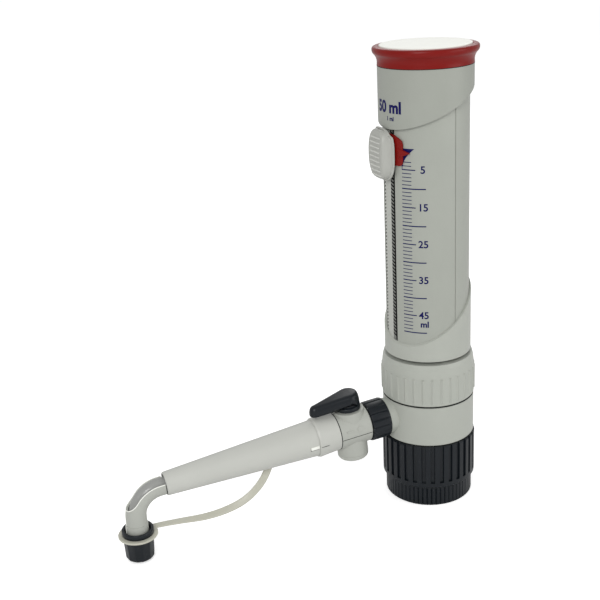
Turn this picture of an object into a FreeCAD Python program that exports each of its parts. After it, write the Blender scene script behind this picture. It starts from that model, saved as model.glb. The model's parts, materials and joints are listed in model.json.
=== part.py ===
# Bottle-top dispenser for 50 ml doses, built as the separate pieces that come apart on a bench.
# Millimetres, +Z up. The origin is the centre of the bottle mouth, where the dispenser also stands.
# The delivery arm points along -X and slopes down a little. Each piece is one object of the document.
import FreeCAD, Part
import math
import os
import re
import Sketcher

doc = FreeCAD.newDocument("bottle_top_dispenser")
sheet = doc.addObject("Spreadsheet::Sheet", "Sizes")

SIZES = {
    # Heights that stack up from the bottle mouth
    "adapter_tall": 12.6, "ring_tall": 28.5, "block_tall": 25.4, "lock_tall": 26.5,
    "sleeve_gap": 2.1, "sleeve_tall": 168.4, "head_tall": 12.4,
    # Clearances
    "running_gap": 0.3, "seat_gap": 0.05, "seal_tall": 1.0,
    # Threaded adapter and bottle ring
    "adapter_r": 26.4, "adapter_thread_r": 20.0, "adapter_lip": 3.0, "adapter_lip_tall": 8.7,
    "adapter_spigot_r": 22.2, "gasket_gap": 0.5, "knurl_deep": 0.55, "knurl_wide": 1.1,
    "ring_r": 28.2, "ring_groove_deep": 1.2, "ring_groove_wide": 3.0, "ring_groove_start": 3.5,
    "ring_lip": 6.9, "ring_lip_r": 20.8, "block_hook_r": 22.1, "block_hook_tall": 2.7,
    # Valve block
    "block_r": 27.5, "block_edge": 0.7, "block_neck_r": 24.0, "block_neck_tall": 21.8,
    "intake_r": 5.0, "intake_drop": 19.8, "intake_tip": 1.5, "channel_r": 2.5, "barrel_seat_tall": 2.0,
    "chamber_r": 6.0, "chamber_up": 1.9, "chamber_tall": 15.0, "valve_seat_tall": 3.5,
    "valve_hole_r": 2.2, "inlet_ball_r": 3.2, "cage_tall": 3.6, "cage_hole_r": 1.8,
    # Locking ring
    "lock_r": 27.7, "lock_rib": 0.45, "lock_rib_wide": 0.9, "lock_rib_start": 2.5, "lock_rib_tall": 15.0,
    "lock_top_r": 26.4, "lock_shoulder": 7.5, "lock_lip": 1.7, "lock_lip_r": 21.0,
    # Glass barrel and its jacket
    "bore_r": 12.25, "glass_wall": 1.75, "barrel_tall": 136.0, "jacket_in_r": 16.0, "jacket_r": 18.0,
    "jacket_tall": 144.0, "jacket_flange_r": 23.4, "jacket_flange": 2.7, "jacket_rib_r": 21.7,
    "jacket_rib_wide": 4.0, "guide_tall": 4.0,
    # Sleeve, shells and head
    "sleeve_r": 24.36, "sleeve_in_r": 22.0, "lower_shell_r": 25.6, "lower_edge_up": 27.2,
    "lower_edge_tilt": 35.85, "lower_edge_turn": 208.0, "upper_shell_r": 26.7, "upper_edge_over": 19.0,
    "upper_edge_tilt": 24.4, "upper_edge_turn": 193.0, "slot_half": 6.92, "slot_start": 7.9, "seam_deep": 0.35, "seam_wide": 0.7, "seam_turn": 282.0,
    "slot_over": 11.0, "head_r": 29.5, "head_waist_r": 26.0, "disc_r": 25.4, "disc_tall": 1.45,
    "disc_deep": 3.0, "web_tall": 3.4, "web_hole_r": 3.2, "spigot_tall": 5.5,
    # Piston and rod
    "rod_r": 5.0, "rod_flange_r": 12.0, "rod_flange": 3.0, "piston_tall": 18.0, "piston_play": 0.05,
    "seal_groove": 1.2, "seal_wide": 2.4, "barrel_floor": 0.5,
    # Dose rack: one tooth for each millilitre
    "tooth_pitch": 2.126, "rack_half": 5.69, "rack_rib_half": 3.18, "rack_back": 20.9,
    "tooth_deep": 1.3, "tooth_slant": 1.5, "tooth_gap": 1.05, "tooth_start": 4.5, "tooth_stop": 5.7, "rack_end": 2.5,
    "pin_r": 1.2, "pin_side": 4.2,
    # Dose slider, drawn at its shortest dose
    "slider_up": 114.5, "slider_tall": 13.9, "slider_skin": 1.04, "plate_start": 158.0, "plate_sweep": 40.0, "leg_wide": 0.6, "leg_root": 0.4, "shoe_up": 1.0, "shoe_tall": 12.0,
    "shoe_deep": 20.4, "shoe_wall": 1.5, "boss_half": 5.6, "boss_out": 29.5, "boss_up": 1.2,
    "boss_tall": 11.5, "pointer_r": 25.7, "pointer_turn": 205.0, "pointer_drop": 0.6, "dose_stroke": 104.7,
    "button_out": 32.2, "button_root": 24.0, "button_half": 10.5, "button_end_half": 6.2,
    "button_side_r": 16.5, "button_end_r": 8.5, "button_taper": 18.0, "button_crown_r": 62.0, "button_end_drop": 2.7,
    "button_drop": 6.1, "button_tall": 28.0, "button_gap": 0.3, "button_relief": 13.8,
    "button_travel": 1.0, "grip_deep": 0.5, "grip_wide": 1.1, "grip_pitch": 2.6, "grip_top": 5.2,
    "grip_half": 6.4, "grip_count": 8,
    # Delivery arm, measured along its own axis from the column's axis
    "arm_up": 15.9, "arm_tilt": 4.58, "outlet_r": 10.9, "outlet_root": 18.5, "outlet_end": 31.3, "nipple_r": 8.0,
    "nipple_end": 38.0, "outlet_chamber_r": 5.0, "outlet_chamber_start": 25.0, "outlet_seat_tall": 3.0,
    "outlet_hole_r": 1.7, "outlet_ball_r": 2.5, "outlet_cage_tall": 4.4, "outlet_cage_hole": 1.4,
    "nut_r": 11.9, "nut_start": 31.6, "nut_tall": 10.8, "nut_bore_r": 8.35, "nut_lip": 1.8,
    "nut_lip_r": 6.85, "nut_flute_deep": 0.45, "nut_flute_wide": 1.0, "tail_r": 6.5, "tail_flange_r": 8.0,
    "tail_flange": 2.0, "stopcock_r": 11.2, "stopcock_start": 42.7, "stopcock_tall": 20.3,
    "plug_at": 53.0, "plug_r": 6.5, "seat_r": 9.3, "seat_up": 12.5, "boss_down": 16.0, "plug_bore_r": 2.0,
    "boss_cap_tall": 2.3, "hub_r": 7.6, "hub_gap": 0.4, "hub_tall": 2.6, "lever_reach": 24.5,
    "lever_tip_r": 3.6, "lever_tall": 6.6, "lever_round": 1.4,
    "collar_tall": 14.0, "collar_r": 12.0, "collar_root_r": 11.2, "collar_lip": 1.2, "taper_start": 64.2,
    "taper_root_r": 11.0, "taper_end": 169.0, "taper_end_r": 6.9, "taper_wall": 1.4, "tube_join": 6.0,
    # Bent outlet and its cap
    "tip_at": 186.6, "spout_drop": 28.05, "bend_r": 15.9, "spout_r": 6.0, "spout_bore_r": 4.5,
    "spout_start": 166.0, "window_edge": 1.2, "window_up": 16.0, "window_back": 2.5, "step_out": 0.35,
    "step_up": 6.6, "step_tall": 1.0, "jet_root": 6.0, "jet_r": 4.2, "jet_bore_r": 2.6,
    "jet_proud": 1.4, "cap_under": 11.3, "cap_tall": 16.8, "cap_flange_r": 9.05, "cap_flange": 3.0,
    "cap_top_r": 8.8, "cap_foot_r": 8.3, "cap_groove_r": 8.4, "cap_bore_r": 6.3, "cap_floor": 9.2,
    "cap_round": 1.2, "strap_ring_r": 11.3, "strap_thick": 1.2, "strap_wide": 3.2,
}
for row, (alias, size) in enumerate(SIZES.items(), 1):
    sheet.set("A%d" % row, alias)
    sheet.set("B%d" % row, str(size))
    sheet.setAlias("B%d" % row, alias)
doc.recompute()

# Places that follow from the sizes
RING_LOW = "adapter_tall + running_gap"
BLOCK_LOW = "(adapter_tall + ring_tall)"
BLOCK_TOP = "(adapter_tall + ring_tall + block_tall)"
NECK_TOP = "(adapter_tall + ring_tall + block_tall + block_neck_tall)"
LOCK_TOP = "(adapter_tall + ring_tall + block_tall + lock_tall)"
SLEEVE_LOW = "(adapter_tall + ring_tall + block_tall + lock_tall + sleeve_gap)"
SLEEVE_TOP = "(adapter_tall + ring_tall + block_tall + lock_tall + sleeve_gap + sleeve_tall)"
HEAD_TOP = SLEEVE_TOP[:-1] + " + head_tall)"
DISC_TOP = SLEEVE_TOP[:-1] + " + head_tall - disc_deep + disc_tall)"
BARREL_LOW = "(adapter_tall + ring_tall + block_tall - barrel_seat_tall)"
HOOK_LOW = "(adapter_tall + ring_tall - ring_lip - block_hook_tall - running_gap)"
SPIGOT_TOP = HOOK_LOW[:-1] + " - seal_tall - gasket_gap)"
INTAKE_LOW = BLOCK_LOW[:-1] + " - intake_drop)"
CHAMBER_LOW = BLOCK_LOW[:-1] + " + chamber_up)"
ARM_UP = BLOCK_LOW[:-1] + " + arm_up)"
TIP_END = ARM_UP[:-1] + " - tan(arm_tilt) * tip_at - spout_drop)"
CAP_LOW = TIP_END[:-1] + " - cap_under)"
SLIDER_LOW = SLEEVE_LOW[:-1] + " + slider_up)"
SLOT_TALL = "(slider_up + slider_tall + slot_over - slot_start)"
UPPER_EDGE = SLIDER_LOW[:-1] + " + slider_tall + upper_edge_over)"
SLIDER_FOOT = SLEEVE_LOW[:-1] + " + lower_edge_up + dose_stroke + running_gap * 2)"
BUTTON_IN = "(sleeve_r + running_gap + slider_skin + button_travel + running_gap)"
BUTTON_LOW = SLIDER_LOW[:-1] + " - button_drop)"


def sized(text):
    """Write the sheet's name before each size in an expression."""
    return re.sub(r"[a-z]\w+", lambda word: ("Sizes." if word.group() in SIZES else "") + word.group(), text)


def number(text):
    """The present value of an expression of sizes."""
    return float(sheet.evalExpression(sized(str(text))))


def bind(item, **expressions):
    """Tie properties of an object to expressions of the sizes."""
    for name, text in expressions.items():
        item.setExpression(name.replace("__", "."), sized(str(text)))


def place(item, x="0", y="0", z="0", turn="rotation(vector(0; 0; 1); 0)"):
    """Tie an object's place to expressions of the sizes."""
    item.setExpression("Placement", sized("placement(vector(%s; %s; %s); %s)" % (x, y, z, turn)))
    return item


def on_arm(item):
    """Stand a piece, drawn along its own Z axis, on the sloping axis of the delivery arm."""
    return place(item, z=ARM_UP, turn="rotation(vector(0; -1; 0); 90 + arm_tilt)")


def origin_part(body, role):
    return next(item for item in body.Origin.OriginFeatures if item.Role == role)


def outline(body, plane, corners, lift=None):
    """A closed straight-sided sketch whose corners are each held by two expressions."""
    sketch = body.newObject("Sketcher::SketchObject", body.Name + "_outline")
    sketch.AttachmentSupport = [(origin_part(body, plane), "")]
    sketch.MapMode = "FlatFace"
    if lift is not None:
        sketch.setExpression("AttachmentOffset.Base.z", sized(lift))
    spots = [FreeCAD.Vector(number(across), number(up), 0) for across, up in corners]
    count = len(spots)
    for index in range(count):
        sketch.addGeometry(Part.LineSegment(spots[index], spots[(index + 1) % count]))
    for index in range(count):
        sketch.addConstraint(Sketcher.Constraint("Coincident", index, 2, (index + 1) % count, 1))
    for index, (across, up) in enumerate(corners):
        for kind, text, size in (("DistanceX", across, spots[index].x), ("DistanceY", up, spots[index].y)):
            held = sketch.addConstraint(Sketcher.Constraint(kind, index, 1, size))
            sketch.setExpression("Constraints[%d]" % held, sized(str(text)))
    return sketch


def turned(label, corners):
    """A body turned about Z from half of its section, given as radius and height."""
    body = doc.addObject("PartDesign::Body", label)
    sketch = outline(body, "XZ_Plane", corners)
    turn = body.newObject("PartDesign::Revolution", label + "_turn")
    turn.Profile = sketch
    turn.ReferenceAxis = (sketch, ["V_Axis"])
    turn.Angle = 360
    return body


def padded(label, plane, corners, length, lift=None, both=False):
    """A body pushed out of a flat outline."""
    body = doc.addObject("PartDesign::Body", label)
    pad = body.newObject("PartDesign::Pad", label + "_pad")
    pad.Profile = outline(body, plane, corners, lift)
    pad.Midplane = both
    bind(pad, Length=length)
    return body


def patterned(body, kind, corners, lift, length, count):
    """Repeat a groove (Pocket) or a rib (Pad) around the Z axis of a body."""
    feature = body.newObject("PartDesign::" + kind, body.Name + "_flute")
    feature.Profile = outline(body, "XY_Plane", corners, lift)
    bind(feature, Length=length)
    feature.Reversed = kind == "Pocket"
    ring = body.newObject("PartDesign::PolarPattern", body.Name + "_flutes")
    ring.Originals = [feature]
    ring.Axis = (origin_part(body, "Z_Axis"), [""])
    ring.Angle = 360
    ring.Occurrences = count
    body.Tip = ring
    return body


def rounded(body, radius, rings):
    """Round the ring edges of a body that lie at the given radii and heights."""
    doc.recompute()
    base = body.Tip
    wanted = [(number(across), number(up)) for across, up in rings]
    picked = []
    for index, edge in enumerate(base.Shape.Edges, 1):
        if edge.Curve.TypeId != "Part::GeomCircle":
            continue
        for across, up in wanted:
            if abs(edge.Curve.Radius - across) < 0.01 and abs(edge.Curve.Center.z - up) < 0.01:
                picked.append("Edge%d" % index)
    fillet = body.newObject("PartDesign::Fillet", body.Name + "_round")
    fillet.Base = (base, sorted(set(picked)))
    bind(fillet, Radius=radius)
    body.Tip = fillet
    return body


def primitive(kind, label, **expressions):
    item = doc.addObject("Part::" + kind, label)
    bind(item, **expressions)
    return item


def cut(label, base, *tools):
    """Take tools away from a piece; several tools are joined first."""
    result = doc.addObject("Part::Cut", label)
    result.Base = base
    result.Tool = tools[0] if len(tools) == 1 else fused(label + "_tools", *tools)
    return result


def fused(label, *items):
    result = doc.addObject("Part::MultiFuse", label)
    result.Shapes = list(items)
    return result


def common(label, first, second):
    result = doc.addObject("Part::Common", label)
    result.Base = first
    result.Tool = second
    return result


def tube(label, outer, inner, low, tall):
    """A plain turned ring."""
    return turned(label, [(inner, low), (outer, low), (outer, f"{low} + {tall}"), (inner, f"{low} + {tall}")])


PIECES = []


def finished(item):
    """Name a finished piece, so that it is checked and written."""
    item.Label = item.Name
    PIECES.append(item)
    return item


def make_adapter():
    """Knurled adapter: a female thread for the bottle below, a male thread for the ring above."""
    body = turned("thread_adapter", [
        ("adapter_thread_r", "0"), ("adapter_r - block_edge", "0"), ("adapter_r", "block_edge"),
        ("adapter_r", "adapter_tall"), ("adapter_spigot_r", "adapter_tall"),
        ("adapter_spigot_r", SPIGOT_TOP),
        ("adapter_thread_r - adapter_lip", SPIGOT_TOP),
        ("adapter_thread_r - adapter_lip", f"{SPIGOT_TOP} - adapter_lip_tall"), ("adapter_thread_r", f"{SPIGOT_TOP} - adapter_lip_tall")])
    patterned(body, "Pocket", [
        ("adapter_r - knurl_deep", "0"), ("adapter_r + knurl_deep", "-knurl_wide"),
        ("adapter_r + knurl_deep", "knurl_wide")], "0", "adapter_tall - block_edge", 60)
    finished(body)


def make_bottle_ring():
    """Free-turning ring that hangs on the valve block's hook and draws the adapter up to it."""
    lip_low = f"{BLOCK_LOW} - ring_lip"
    bore = "adapter_spigot_r + running_gap"
    body = turned("bottle_ring", [
        (bore, RING_LOW), ("ring_r - block_edge", RING_LOW), ("ring_r", f"{RING_LOW} + block_edge"),
        ("ring_r", f"{BLOCK_LOW} - running_gap - block_edge"),
        ("ring_r - block_edge", f"{BLOCK_LOW} - running_gap"), ("ring_lip_r", f"{BLOCK_LOW} - running_gap"),
        ("ring_lip_r", lip_low), (bore, lip_low)])
    patterned(body, "Pocket", [
        ("ring_r - ring_groove_deep", "-ring_groove_wide / 3"), ("ring_r + 1", "-ring_groove_wide / 2"),
        ("ring_r + 1", "ring_groove_wide / 2"), ("ring_r - ring_groove_deep", "ring_groove_wide / 3")],
        "adapter_tall + ring_groove_start", "ring_tall", 32)
    finished(body)


def make_valve_block():
    """Moulded block with the hook for the ring, the neck for the locking ring and the outlet boss."""
    hook_low = HOOK_LOW
    spigot = "ring_lip_r - running_gap"
    core = turned("block_core", [
        ("0", INTAKE_LOW), ("intake_r - 1", INTAKE_LOW), ("intake_r", f"{INTAKE_LOW} + intake_tip"),
        ("intake_r", hook_low), ("block_hook_r", hook_low), ("block_hook_r", f"{hook_low} + block_hook_tall"),
        (spigot, f"{hook_low} + block_hook_tall"), (spigot, BLOCK_LOW), ("block_r - block_edge", BLOCK_LOW),
        ("block_r", f"{BLOCK_LOW} + block_edge"), ("block_r", f"{BLOCK_TOP} - block_edge"),
        ("block_r - block_edge", BLOCK_TOP), ("block_neck_r", BLOCK_TOP), ("block_neck_r", NECK_TOP),
        ("bore_r + glass_wall + seat_gap", NECK_TOP), ("bore_r + glass_wall + seat_gap", BARREL_LOW),
        ("0", BARREL_LOW)])
    stub = on_arm(turned("block_outlet", [
        ("0", "outlet_root"), ("outlet_r", "outlet_root"), ("outlet_r", "outlet_end - 1"), ("outlet_r - 1", "outlet_end"), ("nipple_r", "outlet_end"),
        ("nipple_r", "nipple_end"), ("0", "nipple_end")]))
    intake = place(primitive("Cylinder", "block_intake", Radius="channel_r", Height="intake_drop + chamber_up + 2"),
                   z=f"{INTAKE_LOW} - 1")
    chamber = place(primitive("Cylinder", "block_chamber", Radius="chamber_r", Height="chamber_tall"),
                    z=CHAMBER_LOW)
    side = on_arm(primitive("Cylinder", "block_side", Radius="channel_r", Height="nipple_end + 5"))
    pocket = on_arm(turned("block_pocket", [
        ("0", "outlet_chamber_start"), ("outlet_chamber_r", "outlet_chamber_start"),
        ("outlet_chamber_r", "nipple_end + 1"), ("0", "nipple_end + 1")]))
    body = fused("block_solid", core, stub)
    finished(cut("valve_block", body, intake, chamber, side, pocket))


def make_inlet_valve():
    """Ball valve that lets liquid up from the bottle and not back."""
    finished(tube("inlet_seat", "chamber_r", "valve_hole_r", CHAMBER_LOW, "valve_seat_tall"))
    ball = primitive("Sphere", "inlet_ball", Radius="inlet_ball_r")
    place(ball, z=f"{CHAMBER_LOW} + valve_seat_tall + seat_gap + sqrt(inlet_ball_r ^ 2 - valve_hole_r ^ 2)")
    finished(ball)
    finished(tube("inlet_cage", "chamber_r", "cage_hole_r",
                  f"({CHAMBER_LOW} + chamber_tall - cage_tall)", "cage_tall"))


def make_outlet_valve():
    """Ball valve in the outlet nipple, held by its cage."""
    seat = "(outlet_chamber_start + outlet_seat_tall)"
    finished(on_arm(tube("outlet_seat", "outlet_chamber_r", "outlet_hole_r", "outlet_chamber_start",
                         "outlet_seat_tall")))
    ball = doc.addObject("Part::Sphere", "outlet_ball")
    bind(ball, Radius="outlet_ball_r")
    along = f"({seat} + seat_gap + sqrt(outlet_ball_r ^ 2 - outlet_hole_r ^ 2))"
    place(ball, x=f"-cos(arm_tilt) * {along}", z=f"{ARM_UP} - sin(arm_tilt) * {along}")
    finished(ball)
    finished(on_arm(tube("outlet_cage", "outlet_chamber_r", "outlet_cage_hole",
                         "(nipple_end - outlet_cage_tall)", "outlet_cage_tall")))


def make_locking_ring():
    """Ribbed ring that clamps the barrel's jacket on the valve block."""
    bore = "block_neck_r + running_gap"
    low = f"{BLOCK_TOP} + running_gap"
    body = turned("locking_ring", [
        (bore, low), ("lock_r - block_edge", low), ("lock_r", f"{low} + block_edge"),
        ("lock_r", f"{LOCK_TOP} - lock_shoulder"), ("lock_top_r + 0.7", f"{LOCK_TOP} - lock_shoulder * 0.35"),
        ("lock_top_r", LOCK_TOP), ("lock_lip_r", LOCK_TOP), ("lock_lip_r", f"{LOCK_TOP} - lock_lip"),
        (bore, f"{LOCK_TOP} - lock_lip")])
    patterned(body, "Pad", [
        ("lock_r - 0.5", "-lock_rib_wide"), ("lock_r", "-lock_rib_wide"), ("lock_r + lock_rib", "-lock_rib_wide / 4"),
        ("lock_r + lock_rib", "lock_rib_wide / 4"), ("lock_r", "lock_rib_wide"), ("lock_r - 0.5", "lock_rib_wide")],
        f"{BLOCK_TOP} + lock_rib_start", "lock_rib_tall", 32)
    finished(body)


def make_barrel():
    """Glass barrel on its seal, inside a moulded jacket with guide ribs for the sleeve."""
    finished(tube("barrel_seal", "bore_r + glass_wall", "bore_r", BARREL_LOW, "seal_tall"))
    finished(tube("glass_barrel", "bore_r + glass_wall", "bore_r", f"({BARREL_LOW} + seal_tall)", "barrel_tall"))
    top = f"({BARREL_LOW} + seal_tall + barrel_tall)"
    finished(turned("barrel_guide", [
        ("bore_r + glass_wall + seat_gap", f"{top} - guide_tall"), ("jacket_in_r", f"{top} - guide_tall"),
        ("jacket_in_r", f"{top} + 2"), ("bore_r + 0.6", f"{top} + 2"), ("bore_r + 0.6", top),
        ("bore_r + glass_wall + seat_gap", top)]))
    finished(tube("barrel_jacket", "jacket_r", "jacket_in_r", NECK_TOP, "jacket_tall"))
    finished(tube("jacket_foot", "jacket_flange_r", "jacket_r", NECK_TOP, "jacket_flange"))
    low = f"{LOCK_TOP} + running_gap * 2"
    tall = f"jacket_tall - ({LOCK_TOP} - {NECK_TOP}) - running_gap * 2"
    skin = primitive("Cylinder", "jacket_skin", Radius="jacket_r", Height="jacket_tall")
    place(skin, z=NECK_TOP)
    bars = []
    for index, angle in enumerate((-90, 0, 90)):
        bar = primitive("Box", "guide_bar_%d" % index, Length="jacket_rib_r - jacket_r + 1",
                        Width="jacket_rib_wide", Height=tall)
        turn = "rotation(%d; 0; 0)" % angle
        away, aside = "(jacket_r - 1)", "(-jacket_rib_wide / 2)"
        x = f"{away} * cos({angle}) - {aside} * sin({angle})"
        y = f"{away} * sin({angle}) + {aside} * cos({angle})"
        bars.append(place(bar, x, y, low, turn))
    strips = doc.addObject("Part::Compound", "guide_strips")
    strips.Links = [cut("guide_strip_%d" % index, bar, skin) for index, bar in enumerate(bars)]
    finished(strips)


def make_seals():
    """Flat gasket under the valve block's hook, pressed on the adapter."""
    hook_low = HOOK_LOW
    finished(tube("mouth_gasket", "block_hook_r - 1", "intake_r + 4", f"({hook_low} - seal_tall)", "seal_tall"))


def sloping_box(label, up, tilt, turn, above):
    """A large block on one side of a sloping plane through the column's axis."""
    box = primitive("Box", label, Length="120", Width="120", Height="90")
    solid = doc.addObject("Part::Compound", label + "_set")
    solid.Links = [box]
    place(box, "-60", "-60", "0" if above else "-90")
    return place(solid, z=up, turn=f"rotation({turn}; {tilt}; 0)")


def make_sleeve():
    """Sleeve tube with the slot for the rack, and the two shells with their sloping edges."""
    body = tube("sleeve_body", "sleeve_r", "sleeve_in_r", SLEEVE_LOW, "sleeve_tall")
    slot = primitive("Box", "sleeve_slot", Length="12", Width="2 * slot_half", Height=SLOT_TALL)
    place(slot, x="-sleeve_r - 6", y="-slot_half", z=f"{SLEEVE_LOW} + slot_start")
    seam = primitive("Box", "sleeve_seam", Length="seam_deep + 1", Width="seam_wide", Height="sleeve_tall + 2")
    place(seam, "(sleeve_r - seam_deep) * cos(seam_turn)", "(sleeve_r - seam_deep) * sin(seam_turn)",
          f"{SLEEVE_LOW} - 1", "rotation(seam_turn; 0; 0)")
    finished(cut("sleeve_tube", body, slot, seam))
    lower = tube("lower_shell_ring", "lower_shell_r", "sleeve_r + seat_gap", SLEEVE_LOW, "2 * lower_edge_up")
    slope = sloping_box("lower_slope", f"{SLEEVE_LOW} + lower_edge_up", "lower_edge_tilt", "lower_edge_turn", True)
    finished(cut("lower_shell", lower, slope))
    upper = tube("upper_shell_ring", "upper_shell_r", "sleeve_r + seat_gap", SLIDER_LOW, "sleeve_tall - slider_up")
    slope = sloping_box("upper_slope", UPPER_EDGE, "upper_edge_tilt", "upper_edge_turn", False)
    finished(cut("upper_shell", upper, slope))


def make_head():
    """Red flared head that closes the sleeve, and the white disc in its top."""
    low = f"{SLEEVE_TOP} - spigot_tall"
    bed = f"{HEAD_TOP} - disc_deep"
    body = turned("head_ring", [
        ("sleeve_in_r - 2", low), ("sleeve_in_r", low), ("sleeve_in_r", SLEEVE_TOP), ("upper_shell_r", SLEEVE_TOP),
        ("head_waist_r", f"{SLEEVE_TOP} + 2.6"), ("head_r", f"{HEAD_TOP} - 3.6"), ("head_r", f"{HEAD_TOP} - 1.9"),
        ("head_r - 1.9", HEAD_TOP), ("disc_r + 0.5", HEAD_TOP), ("disc_r + seat_gap", bed), ("web_hole_r", bed),
        ("web_hole_r", f"{bed} - web_tall"), ("sleeve_in_r - 2", f"{bed} - web_tall")])
    rounded(body, "min(2.2; (head_r - head_waist_r) * 0.6)", [("head_waist_r", f"{SLEEVE_TOP} + 2.6")])
    rounded(body, "min(0.9; (head_r - head_waist_r) * 0.25)", [("head_r", f"{HEAD_TOP} - 3.6"), ("head_r", f"{HEAD_TOP} - 1.9"),
                          ("head_r - 1.9", HEAD_TOP)])
    finished(body)
    disc = turned("top_disc", [
        ("0", bed), ("disc_r", bed), ("disc_r", f"{DISC_TOP} - 0.4"), ("disc_r - 0.4", DISC_TOP), ("0", DISC_TOP)])
    finished(disc)


def make_piston():
    """Rod hung from the head, and the coated piston with its two seals."""
    bed = f"{HEAD_TOP} - disc_deep"
    under_web = f"({bed} - web_tall)"
    foot = f"({BLOCK_TOP} + barrel_floor)"
    finished(turned("plunger_rod", [
        ("0", f"{foot} + piston_tall"), ("rod_r", f"{foot} + piston_tall"), ("rod_r", f"{under_web} - rod_flange"),
        ("rod_flange_r", f"{under_web} - rod_flange"), ("rod_flange_r", under_web), ("web_hole_r - seat_gap", under_web),
        ("web_hole_r - seat_gap", f"{bed} - 0.2"), ("0", f"{bed} - 0.2")]))
    skin = "bore_r - piston_play"
    corners = [("0", foot), (f"{skin} - 1", foot), (skin, f"{foot} + 1.2")]
    grooves = (f"{foot} + 3.5", f"{foot} + piston_tall - 3.5 - seal_wide")
    for start in grooves:
        corners += [(skin, start), (f"{skin} - seal_groove", start),
                    (f"{skin} - seal_groove", f"{start} + seal_wide"), (skin, f"{start} + seal_wide")]
    corners += [(skin, f"{foot} + piston_tall - 1"), (f"{skin} - 1", f"{foot} + piston_tall"),
                ("0", f"{foot} + piston_tall")]
    finished(turned("piston", corners))
    rings = [tube("piston_seal_%d" % index, skin, f"{skin} - seal_groove", f"({start})", "seal_wide")
             for index, start in enumerate(grooves, 1)]
    pair = doc.addObject("Part::Compound", "piston_seals")
    pair.Links = rings
    finished(pair)


def make_rack():
    """Toothed rack in the sleeve's slot: a plain middle rib and a row of slanting teeth on each side."""
    low = f"({SLEEVE_LOW} + slot_start)"
    body = padded("rack_bar", "XY_Plane", [
        ("-rack_back", "-rack_half"), ("-rack_back", "rack_half"), ("-sleeve_r - 1", "rack_half"),
        ("-sleeve_r - 1", "-rack_half")], SLOT_TALL, low)
    notch = body.newObject("PartDesign::Pocket", "rack_notch")
    sketch = body.newObject("Sketcher::SketchObject", "rack_notch_outline")
    sketch.AttachmentSupport = [(origin_part(body, "YZ_Plane"), "")]
    sketch.MapMode = "FlatFace"
    sketch.setExpression("AttachmentOffset.Base.z", sized("-sleeve_r - 1"))
    start = f"{low} + tooth_start"
    for side in (1, -1):
        first = sketch.GeometryCount
        corners = [(f"{side} * rack_rib_half", f"{start} + tooth_slant"), (f"{side} * (rack_half + 1)", start),
                   (f"{side} * (rack_half + 1)", f"{start} + tooth_gap"),
                   (f"{side} * rack_rib_half", f"{start} + tooth_slant + tooth_gap")]
        spots = [FreeCAD.Vector(number(across), number(up), 0) for across, up in corners]
        for index in range(4):
            sketch.addGeometry(Part.LineSegment(spots[index], spots[(index + 1) % 4]))
        for index in range(4):
            sketch.addConstraint(Sketcher.Constraint("Coincident", first + index, 2, first + (index + 1) % 4, 1))
        for index, (across, up) in enumerate(corners):
            for kind, text, size in (("DistanceX", across, spots[index].x), ("DistanceY", up, spots[index].y)):
                held = sketch.addConstraint(Sketcher.Constraint(kind, first + index, 1, size))
                sketch.setExpression("Constraints[%d]" % held, sized(text))
    notch.Profile = sketch
    bind(notch, Length="tooth_deep + 1")
    notch.Reversed = True
    row = body.newObject("PartDesign::LinearPattern", "rack_notches")
    row.Originals = [notch]
    row.Direction = (origin_part(body, "Z_Axis"), [""])
    teeth = f"floor(({SLOT_TALL} - tooth_start - tooth_stop) / tooth_pitch)"
    bind(row, Length=f"tooth_pitch * ({teeth} - 1)", Occurrences=teeth)
    body.Tip = row
    ends = []
    for index, up in enumerate((low, f"{low} + {SLOT_TALL} - rack_end")):
        end = primitive("Box", "rack_end_%d" % index, Length="sleeve_r + 1 - rack_back", Width="2 * slot_half",
                        Height="rack_end")
        ends.append(place(end, x="-sleeve_r - 1", y="-slot_half", z=up))
    pin = primitive("Cylinder", "rack_pin", Radius="pin_r", Height="sleeve_r + 1 - rack_back")
    place(pin, x="-rack_back", y="-pin_side", z=f"{low} + rack_end + pin_r", turn="rotation(vector(0; -1; 0); 90)")
    curve = place(primitive("Cylinder", "rack_curve", Radius="sleeve_r - seat_gap", Height=SLOT_TALL), z=low)
    finished(common("volume_rack", fused("rack_whole", body, *ends, pin), curve))


def slice_ring(label, outer, inner, low, tall, start, sweep):
    """Part of a turned ring, from a start angle through a sweep."""
    ring = primitive("Cylinder", label + "_outer", Radius=outer, Height=tall, Angle=sweep)
    hole = primitive("Cylinder", label + "_inner", Radius=inner, Height=tall)
    turn = f"rotation({start}; 0; 0)"
    place(ring, z=low, turn=turn)
    place(hole, z=low)
    return cut(label, ring, hole)


def make_slider():
    """Dose slider: a carriage that wraps the rack, the pointer, and the thumb button on top."""
    low = SLIDER_LOW
    skin_in = "(sleeve_r + running_gap)"
    plate = slice_ring("carriage_plate", f"{skin_in} + slider_skin", skin_in, low, "slider_tall",
                       "plate_start", "plate_sweep")
    boss = primitive("Box", "carriage_boss", Length=f"boss_out - {skin_in} - 0.4", Width="2 * boss_half", Height="boss_tall")
    place(boss, x="-boss_out", y="-boss_half", z=f"{low} + boss_up")
    parts = [plate, boss]
    leg_y = "(rack_half + running_gap)"
    for side in (1, -1):
        leg = primitive("Box", "carriage_leg_%d" % (side + 1), Length=f"{skin_in} + leg_root - shoe_deep",
                        Width="leg_wide", Height="shoe_tall")
        y = leg_y if side > 0 else f"-{leg_y} - leg_wide"
        parts.append(place(leg, x=f"-{skin_in} - leg_root", y=y, z=f"{low} + shoe_up"))
    shoe = primitive("Box", "carriage_shoe", Length="shoe_wall", Width=f"2 * {leg_y} + 2 * leg_wide", Height="shoe_tall")
    parts.append(place(shoe, x="-shoe_deep", y=f"-{leg_y} - leg_wide", z=f"{low} + shoe_up"))
    slope = sloping_box("slider_slope", SLIDER_FOOT, "lower_edge_tilt", "lower_edge_turn", False)
    finished(cut("slider_carriage", fused("carriage_whole", *parts), slope))
    make_pointer(low, skin_in)


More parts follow.
